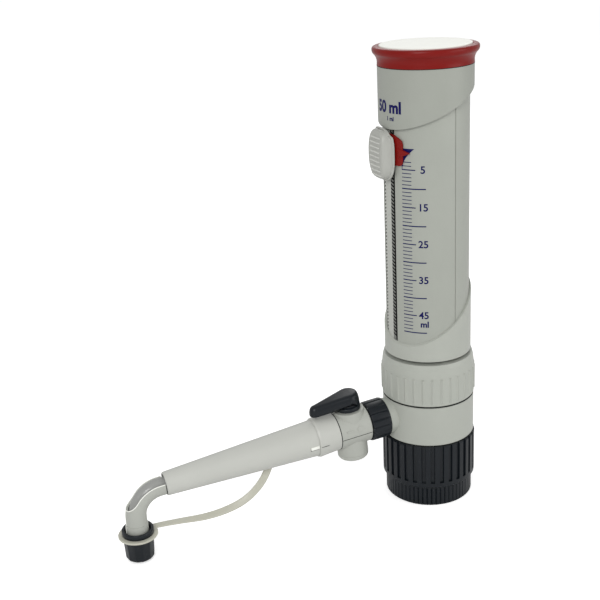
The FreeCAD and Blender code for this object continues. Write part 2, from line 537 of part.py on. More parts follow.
def make_pointer(low, skin_in):
    """Pointer beside the button: a curved plate with its tip on the scale and a sloping foot."""
    tip_up = f"{low} + slider_tall / 2 + 1.2"
    blade = padded("pointer_blade", "YZ_Plane", [
        ("-3", f"{low} - pointer_drop"), ("1", f"{low} - pointer_drop"), ("2.6", f"{low} - pointer_drop + 2.5"),
        ("2.6", f"{tip_up} - 3.4"), ("6.2", tip_up), ("2.6", f"{tip_up} + 3.4"),
        ("2.6", f"{low} + slider_tall - 2.2"), ("0.6", f"{low} + slider_tall"), ("-3", f"{low} + slider_tall")],
        "12", "20")
    place(blade, turn="rotation(pointer_turn; 0; 0)")
    ring = tube("pointer_ring", "pointer_r", skin_in, f"({low} - 10)", "40")
    slope = sloping_box("pointer_slope", SLIDER_FOOT, "lower_edge_tilt", "lower_edge_turn", False)
    finished(cut("dose_pointer", common("pointer_plate", ring, blade), slope))


def arc_outline(body, plane, corners, radii, lift):
    """A closed sketch of outward-bowed arcs between corners, given counter-clockwise."""
    sketch = body.newObject("Sketcher::SketchObject", body.Name + "_outline")
    sketch.AttachmentSupport = [(origin_part(body, plane), "")]
    sketch.MapMode = "FlatFace"
    sketch.setExpression("AttachmentOffset.Base.z", sized(lift))
    spots = [FreeCAD.Vector(number(across), number(up), 0) for across, up in corners]
    count = len(spots)
    for index, radius in enumerate(radii):
        first, last = spots[index], spots[(index + 1) % count]
        chord = last - first
        inward = FreeCAD.Vector(-chord.y, chord.x, 0).normalize()
        size = number(radius)
        middle = (first + last) / 2 - inward * (size - math.sqrt(size ** 2 - (chord.Length / 2) ** 2))
        sketch.addGeometry(Part.Arc(first, middle, last))
    for index, radius in enumerate(radii):
        sketch.addConstraint(Sketcher.Constraint("Coincident", index, 2, (index + 1) % count, 1))
        held = sketch.addConstraint(Sketcher.Constraint("Radius", index, number(radius)))
        sketch.setExpression("Constraints[%d]" % held, sized(radius))
    for index, (across, up) in enumerate(corners):
        for kind, text, size in (("DistanceX", across, spots[index].x), ("DistanceY", up, spots[index].y)):
            held = sketch.addConstraint(Sketcher.Constraint(kind, index, 1, size))
            sketch.setExpression("Constraints[%d]" % held, sized(str(text)))
    return sketch


def crown(label, depth, low, tall):
    """A bar across the column whose skin is the button's crowned face, or lies a depth under it."""
    bar = primitive("Cylinder", label, Radius=f"button_crown_r - {depth}", Height="4 * button_half")
    return place(bar, x="button_crown_r - button_out", y="2 * button_half", z=f"{low} + {tall} / 2",
                 turn="rotation(vector(1; 0; 0); 90)")


def make_button():
    """Thumb button: a bowed, tapering cap over the carriage's boss, with grooves across its crowned face."""
    low, high = BUTTON_LOW, f"({BUTTON_LOW} + button_tall)"
    body = doc.addObject("PartDesign::Body", "button_block")
    pad = body.newObject("PartDesign::Pad", "button_pad")
    pad.Profile = arc_outline(body, "YZ_Plane", [
        ("-button_end_half", f"{low} + button_end_drop"), ("button_end_half", f"{low} + button_end_drop"),
        ("button_end_half", f"{high} - button_end_drop"), ("-button_end_half", f"{high} - button_end_drop")],
        ("button_end_r", "button_side_r", "button_end_r", "button_side_r"), "-button_root")
    pad.Reversed = True
    bind(pad, Length="button_out - button_root", TaperAngle="-button_taper")
    skin = crown("button_crown", "0", low, "button_tall")
    under = crown("button_under", "grip_deep", low, "button_tall")
    grooves = []
    for index in range(int(SIZES["grip_count"])):
        groove = primitive("Box", "grip_bar_%d" % index, Length="4", Width="2 * grip_half", Height="grip_wide")
        grooves.append(place(groove, x="-button_out - 2", y="-grip_half",
                             z=f"{high} - grip_top - grip_wide - {index} * grip_pitch"))
    grips = cut("button_grips", fused("grip_bars", *grooves), under)
    hollow = primitive("Box", "button_hollow", Length=f"boss_out - {BUTTON_IN} + button_travel + button_gap + 1",
                       Width="2 * boss_half + 2 * button_gap", Height="boss_tall + 2 * button_gap")
    place(hollow, x="-boss_out - button_travel - button_gap", y="-boss_half - button_gap",
          z=f"{SLIDER_LOW} + boss_up - button_gap")
    back = place(primitive("Cylinder", "button_back", Radius=BUTTON_IN, Height="button_tall + 2"), z=f"{low} - 1")
    relief_low = f"({UPPER_EDGE} - button_relief)"
    relief = primitive("Cylinder", "button_relief_bar", Radius="upper_shell_r + running_gap + button_travel",
                       Height="button_tall")
    place(relief, z=relief_low)
    finished(cut("thumb_button", common("button_crowned", body, skin), back, relief, hollow, grips))


def make_union_nut():
    """Fluted union nut that draws the stopcock's tail to the outlet nipple."""
    end = "(nut_start + nut_tall)"
    body = turned("union_nut", [
        ("nut_bore_r", "nut_start"), ("nut_r - 1.6", "nut_start"), ("nut_r - 0.3", "nut_start + 1.2"),
        ("nut_r", "nut_start + 3"), ("nut_r", f"{end} - 0.5"), ("nut_r - 0.5", end), ("nut_lip_r", end),
        ("nut_lip_r", f"{end} - nut_lip"), ("nut_bore_r", f"{end} - nut_lip")])
    patterned(body, "Pocket", [
        ("nut_r - nut_flute_deep", "0"), ("nut_r + nut_flute_deep", "-nut_flute_wide"),
        ("nut_r + nut_flute_deep", "nut_flute_wide")], "nut_start", "nut_tall", 16)
    on_arm(body)
    finished(body)


def make_stopcock():
    """Stopcock: housing with its cross bore, plug, lever and the cap of the round boss below."""
    end = "(stopcock_start + stopcock_tall)"
    core = turned("stopcock_core", [
        ("0", "nipple_end + running_gap"), ("tail_flange_r", "nipple_end + running_gap"),
        ("tail_flange_r", "nipple_end + running_gap + tail_flange"),
        ("tail_r", "nipple_end + running_gap + tail_flange"), ("tail_r", "stopcock_start"),
        ("stopcock_r - 0.6", "stopcock_start"), ("stopcock_r", "stopcock_start + 0.6"), ("stopcock_r", end),
        ("outlet_chamber_r - 0.5", end), ("outlet_chamber_r - 0.5", f"{end} + 6"), ("0", f"{end} + 6")])
    across = "rotation(vector(0; 1; 0); 90)"
    hub = place(primitive("Cylinder", "stopcock_hub", Radius="seat_r", Height="seat_up + boss_down"),
                x="-boss_down", z="plug_at", turn=across)
    bore = place(primitive("Cylinder", "stopcock_bore", Radius="plug_r + seat_gap", Height="seat_up + boss_down + 4"),
                 x="-boss_down - 2", z="plug_at", turn=across)
    way = place(primitive("Cylinder", "stopcock_way", Radius="channel_r", Height="40"), z="nipple_end - 1")
    finished(on_arm(cut("stopcock_housing", fused("stopcock_solid", core, hub), bore, way)))
    plug = place(primitive("Cylinder", "plug_core", Radius="plug_r", Height="seat_up + boss_down + hub_gap"),
                 x="-boss_down", z="plug_at", turn=across)
    hole = place(primitive("Cylinder", "plug_hole", Radius="plug_bore_r", Height="20"), z="plug_at - 10")
    finished(on_arm(cut("stopcock_plug", plug, hole)))
    cap = place(primitive("Cylinder", "boss_cap_disc", Radius="seat_r", Height="boss_cap_tall"),
                x="-boss_down - boss_cap_tall - seat_gap", z="plug_at", turn=across)
    doc.recompute()
    soft = doc.addObject("Part::Fillet", "boss_cap")
    soft.Base = cap
    rim = [index for index, edge in enumerate(cap.Shape.Edges, 1)
           if edge.Curve.TypeId == "Part::GeomCircle" and edge.BoundBox.XMin < cap.Shape.BoundBox.XMin + 0.01]
    soft.Edges = [(index, 0.9, 0.9) for index in rim]
    finished(on_arm(soft))


def make_lever():
    """Teardrop lever on the plug: a hub disc with a deep grip that tapers to its tip."""
    low = "(seat_up + hub_gap)"
    body = doc.addObject("PartDesign::Body", "lever_grip")
    sketch = body.newObject("Sketcher::SketchObject", "lever_outline")
    sketch.AttachmentSupport = [(origin_part(body, "YZ_Plane"), "")]
    sketch.MapMode = "FlatFace"
    sketch.setExpression("AttachmentOffset.Base.z", sized(f"{low} + hub_tall - 0.6"))
    centre, reach = number("plug_at"), number("lever_reach")
    big, small = number("hub_r") - 1.6, number("lever_tip_r")
    lean = math.acos((big - small) / reach)
    spots = {}
    for name, middle, radius in (("hub", centre, big), ("tip", centre + reach, small)):
        for side in (1, -1):
            spots[name, side] = FreeCAD.Vector(side * radius * math.sin(lean), middle + radius * math.cos(lean), 0)
    up = FreeCAD.Vector(0, 0, 1)
    angle = math.pi / 2 - lean
    hub_circle = Part.Circle(FreeCAD.Vector(0, centre, 0), up, big)
    tip_circle = Part.Circle(FreeCAD.Vector(0, centre + reach, 0), up, small)
    sketch.addGeometry(Part.ArcOfCircle(hub_circle, math.pi - angle, 2 * math.pi + angle))
    sketch.addGeometry(Part.LineSegment(spots["hub", 1], spots["tip", 1]))
    sketch.addGeometry(Part.ArcOfCircle(tip_circle, angle, math.pi - angle))
    sketch.addGeometry(Part.LineSegment(spots["tip", -1], spots["hub", -1]))
    add = sketch.addConstraint
    add(Sketcher.Constraint("Tangent", 0, 2, 1, 1))
    add(Sketcher.Constraint("Tangent", 1, 2, 2, 1))
    add(Sketcher.Constraint("Tangent", 2, 2, 3, 1))
    add(Sketcher.Constraint("Tangent", 3, 2, 0, 1))
    for curve, middle, radius in ((0, "plug_at", "hub_r - 1.6"), (2, "plug_at + lever_reach", "lever_tip_r")):
        add(Sketcher.Constraint("DistanceX", curve, 3, 0.0))
        held = add(Sketcher.Constraint("DistanceY", curve, 3, number(middle)))
        sketch.setExpression("Constraints[%d]" % held, sized(middle))
        held = add(Sketcher.Constraint("Radius", curve, number(radius)))
        sketch.setExpression("Constraints[%d]" % held, sized(radius))
    pad = body.newObject("PartDesign::Pad", "lever_pad")
    pad.Profile = sketch
    bind(pad, Length="lever_tall + 0.6")
    doc.recompute()
    top = number(f"{low} + hub_tall + lever_tall")
    rim = ["Edge%d" % index for index, edge in enumerate(pad.Shape.Edges, 1) if edge.BoundBox.XMin > top - 0.01]
    soft = body.newObject("PartDesign::Fillet", "lever_soft")
    soft.Base = (pad, rim)
    bind(soft, Radius="lever_round")
    body.Tip = soft
    across = "rotation(vector(0; 1; 0); 90)"
    hub = place(primitive("Cylinder", "lever_hub", Radius="hub_r", Height="hub_tall"), x=low, z="plug_at", turn=across)
    finished(on_arm(fused("stopcock_lever", body, hub)))


def make_nozzle():
    """Collar, long hollow taper and the bent outlet with its open window over the jet tube."""
    start = "(stopcock_start + stopcock_tall)"
    end = "(stopcock_start + stopcock_tall + collar_tall)"
    bore = "taper_root_r + seat_gap"
    finished(on_arm(turned("nozzle_collar", [
        ("outlet_chamber_r", start), ("collar_root_r", start), ("collar_r", f"{end} - collar_lip"),
        ("collar_r - 0.5", end), (bore, end), (bore, "taper_start"), ("outlet_chamber_r", "taper_start")])))
    finished(on_arm(turned("nozzle_taper", [
        ("taper_root_r - taper_wall", "taper_start"), ("taper_root_r", "taper_start"), ("taper_root_r", end),
        ("taper_end_r", "taper_end - 0.5"), ("taper_end_r - 0.5", "taper_end"), ("spout_r + seat_gap", "taper_end"),
        ("spout_r + seat_gap", "spout_start"), ("taper_end_r - taper_wall", "spout_start - 1"),
        ("taper_root_r - taper_wall", end)])))


def bend_points():
    """The arm's direction, where its axis enters and leaves the bend, and the bend's centre."""
    tilt = math.radians(number("arm_tilt"))
    along = FreeCAD.Vector(-math.cos(tilt), 0, -math.sin(tilt))
    corner = FreeCAD.Vector(-number("tip_at"), 0, number(f"{TIP_END} + spout_drop"))
    reach = number("bend_r") * math.tan((math.pi / 2 - tilt) / 2)
    leave = corner - FreeCAD.Vector(0, 0, reach)
    return along, corner - along * reach, leave, leave + FreeCAD.Vector(number("bend_r"), 0, 0)


def bent_bar(label, radius, start, stop):
    """A round bar along the arm's axis, round the bend and down to a height."""
    along, enter, leave, centre = bend_points()
    root = FreeCAD.Vector(0, 0, number(ARM_UP)) + along * number(start)
    halfway = centre + (enter + leave - centre * 2).normalize() * number("bend_r")
    path = doc.addObject("Part::Feature", label + "_path")
    path.Shape = Part.Wire([Part.LineSegment(root, enter).toShape(), Part.Arc(enter, halfway, leave).toShape(),
                            Part.LineSegment(leave, FreeCAD.Vector(leave.x, 0, number(stop))).toShape()])
    section = doc.addObject("Part::Circle", label + "_section")
    bind(section, Radius=radius)
    place(section, x="-tip_at", z=stop)
    bar = doc.addObject("Part::Sweep", label)
    bar.Sections = [section]
    bar.Spine = (path, ["Edge1", "Edge2", "Edge3"])
    bar.Solid = True
    return bar


def window_cutter():
    """A thick band outside the bend: it opens the spout from the taper's end down to window_up."""
    along, enter, leave, centre = bend_points()
    aside = FreeCAD.Vector(0, number("spout_r + 2"), 0)
    foot = number(f"{TIP_END} + window_up")
    halfway = (enter + leave - centre * 2).normalize()
    rims = []
    for radius, drop in ((number("bend_r + window_edge"), 0), (number("bend_r + 2 * spout_r"), number("spout_r / 2"))):
        top = centre + (enter - centre).normalize() * radius
        side = centre - FreeCAD.Vector(radius, 0, 0)
        rims.append((top - along * number("window_back"), top, centre + halfway * radius, side,
                     FreeCAD.Vector(side.x, 0, foot - drop)))
    edges = []
    for start, top, middle, side, low in rims:
        edges.append([Part.LineSegment(start, top).toShape(), Part.Arc(top, middle, side).toShape(),
                      Part.LineSegment(side, low).toShape()])
    inner, outer = edges
    ends = [Part.LineSegment(rims[0][4], rims[1][4]).toShape(), Part.LineSegment(rims[1][0], rims[0][0]).toShape()]
    face = Part.Face(Part.Wire(inner + ends[:1] + outer[::-1] + ends[1:]))
    face.translate(aside * -1)
    window = doc.addObject("Part::Feature", "spout_window")
    window.Shape = face.extrude(aside * 2)
    return window


def make_spout():
    """Bent outlet with its open window, and the jet tube inside it."""
    outer = bent_bar("spout_outer", "spout_r", "spout_start", TIP_END)
    inner = bent_bar("spout_bore", "spout_bore_r", "spout_start - 1", f"{TIP_END} - 1")
    step = primitive("Cylinder", "spout_step", Radius="spout_r + step_out", Height="step_tall")
    place(step, x="-tip_at", z=f"{TIP_END} + step_up")
    hollow = place(primitive("Cylinder", "step_bore", Radius="spout_bore_r", Height="step_tall"), x="-tip_at",
                   z=f"{TIP_END} + step_up")
    finished(cut("spout", fused("spout_bar", outer, step), inner, hollow, window_cutter()))
    jet = bent_bar("jet_outer", "jet_r", "taper_start + jet_root", f"{TIP_END} - jet_proud")
    hole = bent_bar("jet_hole", "jet_bore_r", "taper_start + jet_root - 1", f"{TIP_END} - jet_proud - 1")
    finished(cut("jet_tube", jet, hole))


def make_cap():
    """Push-on end cap with a groove for its tether."""
    top = f"({CAP_LOW} + cap_tall)"
    shelf = f"({top} - cap_flange)"
    body = turned("nozzle_cap", [
        ("0", CAP_LOW), ("cap_foot_r", CAP_LOW), ("cap_top_r", f"{shelf} - strap_thick - running_gap"),
        ("cap_groove_r", f"{shelf} - strap_thick - running_gap"), ("cap_groove_r", shelf), ("cap_flange_r", shelf),
        ("cap_flange_r", top), ("cap_bore_r", top), ("cap_bore_r", f"{CAP_LOW} + cap_floor"),
        ("0", f"{CAP_LOW} + cap_floor")])
    rounded(body, "cap_round", [("cap_foot_r", CAP_LOW)])
    place(body, x="-tip_at")
    finished(body)


def make_strap():
    """Flat moulded tether from the cap's groove to the underside of the taper."""
    level = number(f"{CAP_LOW} + cap_tall - cap_flange - strap_thick - running_gap / 2")
    away, thick, wide = number("tip_at"), number("strap_thick"), number("strap_wide")
    ring = Part.makeCylinder(number("strap_ring_r"), thick, FreeCAD.Vector(-away, 0, level))
    ring = ring.cut(Part.makeCylinder(number("cap_groove_r + 0.1"), thick, FreeCAD.Vector(-away, 0, level)))
    route = [(-away + number("strap_ring_r") - 1.2, level + thick / 2), (-160.8, 16.4), (-146, 16.6), (-132.5, 18.6),
             (-120.5, 23.2), (-112.0, 29.6), (-107.6, 35.0), (-105.4, 40.0)]
    spots = [FreeCAD.Vector(x, 0, z) for x, z in route]
    edges = []
    last = spots[0]
    for before, here, after in zip(spots, spots[1:], spots[2:]):
        back, ahead = (before - here), (after - here)
        trim = 0.45 * min(back.Length, ahead.Length)
        enter = here + FreeCAD.Vector(back).normalize() * trim
        leave = here + FreeCAD.Vector(ahead).normalize() * trim
        half = back.getAngle(ahead) / 2
        radius = trim * math.tan(half)
        inward = (FreeCAD.Vector(back).normalize() + FreeCAD.Vector(ahead).normalize()).normalize()
        centre = here + inward * (trim / math.cos(half))
        middle = centre - inward * radius
        edges.append(Part.LineSegment(last, enter).toShape())
        edges.append(Part.Arc(enter, middle, leave).toShape())
        last = leave
    edges.append(Part.LineSegment(last, spots[-1]).toShape())
    first = (spots[1] - spots[0]).normalize()
    side = FreeCAD.Vector(0, wide / 2, 0)
    rise = FreeCAD.Vector(-first.z, 0, first.x) * (thick / 2)
    corners = [spots[0] + side + rise, spots[0] - side + rise, spots[0] - side - rise, spots[0] + side - rise]
    section = Part.makePolygon(corners + [corners[0]])
    band = Part.Wire(edges).makePipeShell([section], True, False)
    strap = doc.addObject("Part::Feature", "cap_strap")
    start, finish = number("stopcock_start + stopcock_tall + collar_tall"), number("taper_end - 0.5")
    cone = Part.makeCone(number("taper_root_r + seat_gap"), number("taper_end_r + seat_gap"), finish - start,
                         FreeCAD.Vector(0, 0, start))
    cone.Placement = FreeCAD.Placement(FreeCAD.Vector(0, 0, number(ARM_UP)),
                                       FreeCAD.Rotation(FreeCAD.Vector(0, -1, 0), 90 + number("arm_tilt")))
    strap.Shape = ring.fuse(band).removeSplitter().cut(cone)
    finished(strap)


make_adapter()
make_bottle_ring()
make_valve_block()
make_inlet_valve()
make_outlet_valve()
make_locking_ring()
make_barrel()
make_seals()
make_sleeve()
make_head()
make_piston()
make_rack()
make_slider()
make_button()
make_union_nut()
make_stopcock()
make_lever()
make_nozzle()
make_spout()
make_cap()
make_strap()
doc.recompute()
for item in doc.Objects:
    if "Invalid" in item.State or "Error" in item.State:
        raise RuntimeError("not built: %s %s" % (item.Name, item.State))
os.makedirs("parts", exist_ok=True)
for item in PIECES:
    shape = item.Shape
    if shape.isNull() or not shape.isValid():
        raise RuntimeError("bad shape: " + item.Label)
    shape.exportStep(os.path.join("parts", item.Label + ".step"))
    print("%-18s %d solid  %.0f mm3" % (item.Label, len(shape.Solids), shape.Volume))
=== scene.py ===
# %% [markdown]
# # A bottle-top dispenser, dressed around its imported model
# The construction comes in as a fixed frame, in metres, and this script gives it its looks: the finish
# of each moulding, the printed dose scale, and the forms that a mesh holds better than a solid.
# Every cell makes one thing and prints what it made, so the file can be read and run from the top.

# %% Load the frame
import bpy
import bmesh
import json
import math
from mathutils import Matrix, Vector


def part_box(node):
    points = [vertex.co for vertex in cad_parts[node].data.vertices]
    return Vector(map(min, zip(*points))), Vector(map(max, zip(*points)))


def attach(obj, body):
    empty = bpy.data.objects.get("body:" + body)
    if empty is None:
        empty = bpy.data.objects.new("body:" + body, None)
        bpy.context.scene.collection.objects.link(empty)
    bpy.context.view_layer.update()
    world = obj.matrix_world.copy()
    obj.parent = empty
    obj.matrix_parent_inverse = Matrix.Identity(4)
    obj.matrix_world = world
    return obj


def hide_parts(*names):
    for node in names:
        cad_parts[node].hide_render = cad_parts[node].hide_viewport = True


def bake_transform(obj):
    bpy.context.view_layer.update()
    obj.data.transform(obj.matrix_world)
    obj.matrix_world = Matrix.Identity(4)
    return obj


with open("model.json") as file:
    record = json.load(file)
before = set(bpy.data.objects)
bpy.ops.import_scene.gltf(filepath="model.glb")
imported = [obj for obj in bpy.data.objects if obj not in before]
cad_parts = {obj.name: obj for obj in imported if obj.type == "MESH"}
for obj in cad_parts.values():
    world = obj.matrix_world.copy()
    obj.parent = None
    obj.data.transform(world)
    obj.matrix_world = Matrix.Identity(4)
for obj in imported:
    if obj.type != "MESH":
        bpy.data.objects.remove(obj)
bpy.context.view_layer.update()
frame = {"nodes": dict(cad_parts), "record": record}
MM = 0.001

# %% [markdown]
# ## Measures taken from the frame
# The column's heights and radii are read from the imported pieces, and the slope of the delivery arm from
# the joints on it, so that a mark or a rounded edge stays where the piece is when a size changes.

# %% Measures
SLEEVE_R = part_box("sleeve_tube")[1].x
SLEEVE_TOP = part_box("sleeve_tube")[1].z
SHELL_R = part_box("upper_shell")[1].x
BLOCK_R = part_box("valve_block")[1].x
LOCK_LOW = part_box("locking_ring")[0].z
RING_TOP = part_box("bottle_ring")[1].z
HEAD_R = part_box("head_ring")[1].x
HEAD_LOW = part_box("head_ring")[0].z
SLIDER_LOW, SLIDER_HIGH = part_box("slider_carriage")
joint_rows = {row["name"]: row for row in frame["record"]["behaviour"]["joints"]}
ARM_WAY = Vector(joint_rows["nut_turn"]["axis"])
ARM_UP = Vector(joint_rows["stopcock_turn"]["axis"])
PLUG_SPOT = Vector(joint_rows["stopcock_turn"]["pos_m"])
ARM_ROOT = PLUG_SPOT - ARM_WAY * (PLUG_SPOT.x / ARM_WAY.x)
PLUG_AT = (PLUG_SPOT - ARM_ROOT).length / MM
print("sleeve radius %.2f mm, plug %.1f mm along the arm" % (SLEEVE_R / MM, PLUG_AT))


def on_arm(along, across, up):
    """A point in metres from millimetres along the arm, across it (away from the scale) and above it."""
    return ARM_ROOT + (ARM_WAY * along + ARM_UP * up + Vector((0, across, 0))) * MM


def polar(radius, angle):
    """Two coordinates from a radius and an angle."""
    return radius * math.cos(angle), radius * math.sin(angle)


def on_column(radius, degrees, height):
    """A point in metres from millimetres off the column's axis, degrees round it and height."""
    return Vector((*polar(radius, math.radians(degrees)), height)) * MM


# %% [markdown]
# ## Colours
# A colour is written as the hex value that a picture shows. Shaders work in linear light, so one
# function turns each hex value to linear numbers.

# %% Colours
def linear(hex_colour):
    """Turn an sRGB hex value, such as 'ABAFA6', into linear red, green, blue and alpha."""
    values = []
    for start in (0, 2, 4):
        share = int(hex_colour[start:start + 2], 16) / 255
        values.append(share / 12.92 if share <= 0.04045 else ((share + 0.055) / 1.055) ** 2.4)
    return (*values, 1.0)


# %% [markdown]
# ## Helpers for every node tree
# A node is added with its settings and with what feeds its inputs. An input takes a number, a colour
# or the output of an earlier node, and is named by its label or its number. A colour mixer's inputs
# are told by number, because their labels repeat.

# %% Node helpers
MIX_FACTOR, MIX_A, MIX_B, MIX_RESULT = 0, 6, 7, 2


def add(tree, kind, inputs=None, **settings):
    """Add one node to a tree, set its properties and feed its inputs."""
    node = tree.nodes.new(kind)
    for name, value in settings.items():
        setattr(node, name, value)
    for name, value in (inputs or {}).items():
        if isinstance(value, bpy.types.NodeSocket):
            tree.links.new(value, node.inputs[name])
        else:
            node.inputs[name].default_value = value
    return node


def reckon(tree, operation, *values):
    """The result of one sum in a node tree, from numbers or outputs."""
    return add(tree, "ShaderNodeMath", dict(enumerate(values)), operation=operation).outputs["Value"]


def spread(tree, value, low, high, start=0.0, end=1.0):
    """Map a value between start and end to one between low and high, held at both ends."""
    return add(tree, "ShaderNodeMapRange", {"Value": value, "From Min": start, "From Max": end,
                                            "To Min": low, "To Max": high}).outputs["Result"]


def noise(tree, place, size_mm, detail=2.0):
    """Soft noise in spots of about this size."""
    return add(tree, "ShaderNodeTexNoise", {"Vector": place, "Scale": 1 / (size_mm * MM),
                                            "Detail": detail}).outputs["Fac"]


def mixed(tree, share, first, second):
    """A colour between two others."""
    mixer = add(tree, "ShaderNodeMix", {MIX_FACTOR: share, MIX_A: first, MIX_B: second}, data_type="RGBA")
    return mixer.outputs[MIX_RESULT]


def fresh_material(name):
    """An empty node material and its tree."""
    material = bpy.data.materials.new(name)
    material.use_nodes = True
    material.node_tree.nodes.clear()
    return material, material.node_tree


def surfaced(material, inputs):
    """Close a material with a principled surface that has these inputs."""
    shader = add(material.node_tree, "ShaderNodeBsdfPrincipled", inputs)
    add(material.node_tree, "ShaderNodeOutputMaterial", {"Surface": shader.outputs["BSDF"]})
    return material


# %% [markdown]
# ## Moulded plastic
# The casing is injection-moulded polypropylene. The mould is lightly spark-eroded, which leaves an
# even satin grain of a few tenths of a millimetre, and the melt cools with a faint unevenness that
# shows as slow changes in gloss. One builder makes each moulded finish from its colour and gloss. The
# real grain is about 0.1 mm; it is drawn three times coarser so that it shows at this distance. The
# button's ribs are painted a little brighter than the button, a painted highlight on their crests.

# %% Moulded plastic
DRIFT_MM = 18


def moulded(name, colour, roughness, grain_mm=0.35, grain_depth=0.05, drift=0.04, specular=0.4):
    """A satin moulded plastic: colour that drifts a little, fine mould grain, slow change in gloss."""
    material, tree = fresh_material(name)
    place = add(tree, "ShaderNodeTexCoord").outputs["Object"]
    slow = noise(tree, place, DRIFT_MM, 3.0)
    base = linear(colour)
    darker = tuple(part * (1 - drift) for part in base[:3]) + (1.0,)
    lighter = tuple(min(1.0, part * (1 + drift)) for part in base[:3]) + (1.0,)
    bump = add(tree, "ShaderNodeBump", {"Height": noise(tree, place, grain_mm), "Strength": 0.35,
                                        "Distance": grain_depth * MM})
    return surfaced(material, {
        "Base Color": mixed(tree, slow, darker, lighter),
        "Roughness": spread(tree, slow, roughness - 0.04, roughness + 0.05),
        "Normal": bump.outputs["Normal"], "IOR": 1.49, "Specular IOR Level": specular})


grey_plastic = moulded("polypropylene_satin_grey", "A8ABA3", 0.38)
# Painted shade: the sleeve and the upper shell are darker greys, for the light that weakens up the column.
sleeve_painted_shade = moulded("polypropylene_grey_sleeve_painted_shade", "9EA199", 0.38)
upper_shell_painted_shade = moulded("polypropylene_grey_upper_painted_shade", "989B93", 0.38)
pale_plastic = moulded("polypropylene_satin_pale", "BABBB5", 0.40)
valve_plastic = moulded("polypropylene_satin_light_grey", "A9ABA4", 0.38)
black_plastic = moulded("polypropylene_satin_black", "13181D", 0.32, drift=0.10, specular=0.3)
red_plastic = moulded("polypropylene_gloss_red", "78120E", 0.30, grain_depth=0.03, specular=0.18)
button_plastic = moulded("polypropylene_satin_off_white", "A6A7A1", 0.36)
# Painted highlight: the button's ribs are given a lighter colour than the button.
rib_highlight_plastic = moulded("polypropylene_off_white_painted_highlight", "C4C5BF", 0.32)
disc_plastic = moulded("polypropylene_matt_white", "ECEDE6", 0.48, drift=0.01)
ptfe = moulded("ptfe_machined", "E6E6E0", 0.38, drift=0.02)
ceramic = moulded("ceramic_polished", "E4DFD2", 0.12, grain_depth=0.01, drift=0.02)
navy_ink = moulded("pad_printing_ink_navy", "0E0E4E", 0.45, drift=0.05, specular=0.15)
gap_black = moulded("seam_in_shadow", "1A1C1C", 0.70, drift=0.05, specular=0.1)

# %% [markdown]
# ## Rack material
# The rack is acetal in the casing's grey, and the hollows between its teeth lie in deep shadow, which
# is painted into its colour. The colour is told from the distance to the column's axis: the crowns of
# the teeth and the rib keep the grey, and everything deeper goes near black as painted shade. The row
# of teeth towards the scale, which the slider locks in, is painted the darker of the two.

# %% Rack material
def rack_finish(name, crown_mm, root_mm):
    """Grey crowns over hollows in painted shade, told apart by the distance from the column's axis."""
    material, tree = fresh_material(name)
    place = add(tree, "ShaderNodeTexCoord").outputs["Object"]
    flat = add(tree, "ShaderNodeVectorMath", {0: place, 1: (1.0, 1.0, 0.0)}, operation="MULTIPLY")
    radius = add(tree, "ShaderNodeVectorMath", {0: flat.outputs["Vector"]}, operation="LENGTH")
    # Painted shade: everything deeper than the crowns of the teeth goes near black.
    crown = spread(tree, radius.outputs["Value"], 0.0, 1.0, root_mm * MM, crown_mm * MM)
    parts = add(tree, "ShaderNodeSeparateXYZ", {"Vector": place})
    # The row of teeth on the -Y side, towards the scale, is painted darker.
    scale_row_tone = spread(tree, parts.outputs["Y"], 0.35, 1.0, -3.5 * MM, -3.1 * MM)
    return surfaced(material, {
        "Base Color": mixed(tree, reckon(tree, "MULTIPLY", crown, scale_row_tone), linear("0E0F10"), linear("B2B4AD")),
        "Roughness": spread(tree, noise(tree, place, 0.6), 0.30, 0.42), "Specular IOR Level": 0.35})


rack_plastic = rack_finish("acetal_grey_in_painted_shade", 24.29, 24.18)

# %% [markdown]
# ## The tether, the jet tube and the glass
# The tether is soft polyethylene that lets some light through. The jet tube is drawn FEP, smooth and
# slightly grey through its wall. The barrel is clear borosilicate glass.

# %% Soft and clear materials
def clear(name, colour, roughness, transmission, ior):
    """A clear or milky material, with the light that passes through it set by one share."""
    material, tree = fresh_material(name)
    place = add(tree, "ShaderNodeTexCoord").outputs["Object"]
    rough = spread(tree, noise(tree, place, 6), roughness, roughness + 0.06)
    return surfaced(material, {"Base Color": linear(colour), "Roughness": rough, "IOR": ior,
                               "Transmission Weight": transmission})


tether_plastic = clear("polyethylene_milky", "BCBBAD", 0.38, 0.05, 1.51)
jet_plastic = clear("fep_drawn_tube", "9C9D9A", 0.16, 0.10, 1.34)
glass = clear("borosilicate_clear", "F4FAF9", 0.02, 0.95, 1.47)

# %% [markdown]
# ## Finish of the pieces that stay as they are
# A piece whose imported shape is right keeps it and gets its material here. The sleeve and the upper
# shell are painted darker than the foot of the column, a painted shade for the light that weakens
# towards the top of the column, and the stopcock's housing is darker than the nozzle beside it, so
# these have finishes of their own.

# %% Finishes of the imported pieces
FINISHES = {
    "grey_moulding": grey_plastic, "pale_moulding": pale_plastic, "black_moulding": black_plastic,
    "red_moulding": red_plastic, "rack_moulding": rack_plastic, "white_label": disc_plastic,
    "fluoropolymer": ptfe, "jet_fluoropolymer": jet_plastic, "strap_elastomer": tether_plastic,
    "barrel_glass": glass, "valve_ceramic": ceramic,
}
DARKER_NODES = {"stopcock_housing": valve_plastic, "boss_cap": valve_plastic, "sleeve_tube": sleeve_painted_shade,
                "upper_shell": upper_shell_painted_shade}
for row in frame["record"]["subparts"]:
    packed = frame["nodes"][row["node"]].data
    packed.materials.clear()
    packed.materials.append(DARKER_NODES.get(row["node"], FINISHES[row["material_slot"]]))

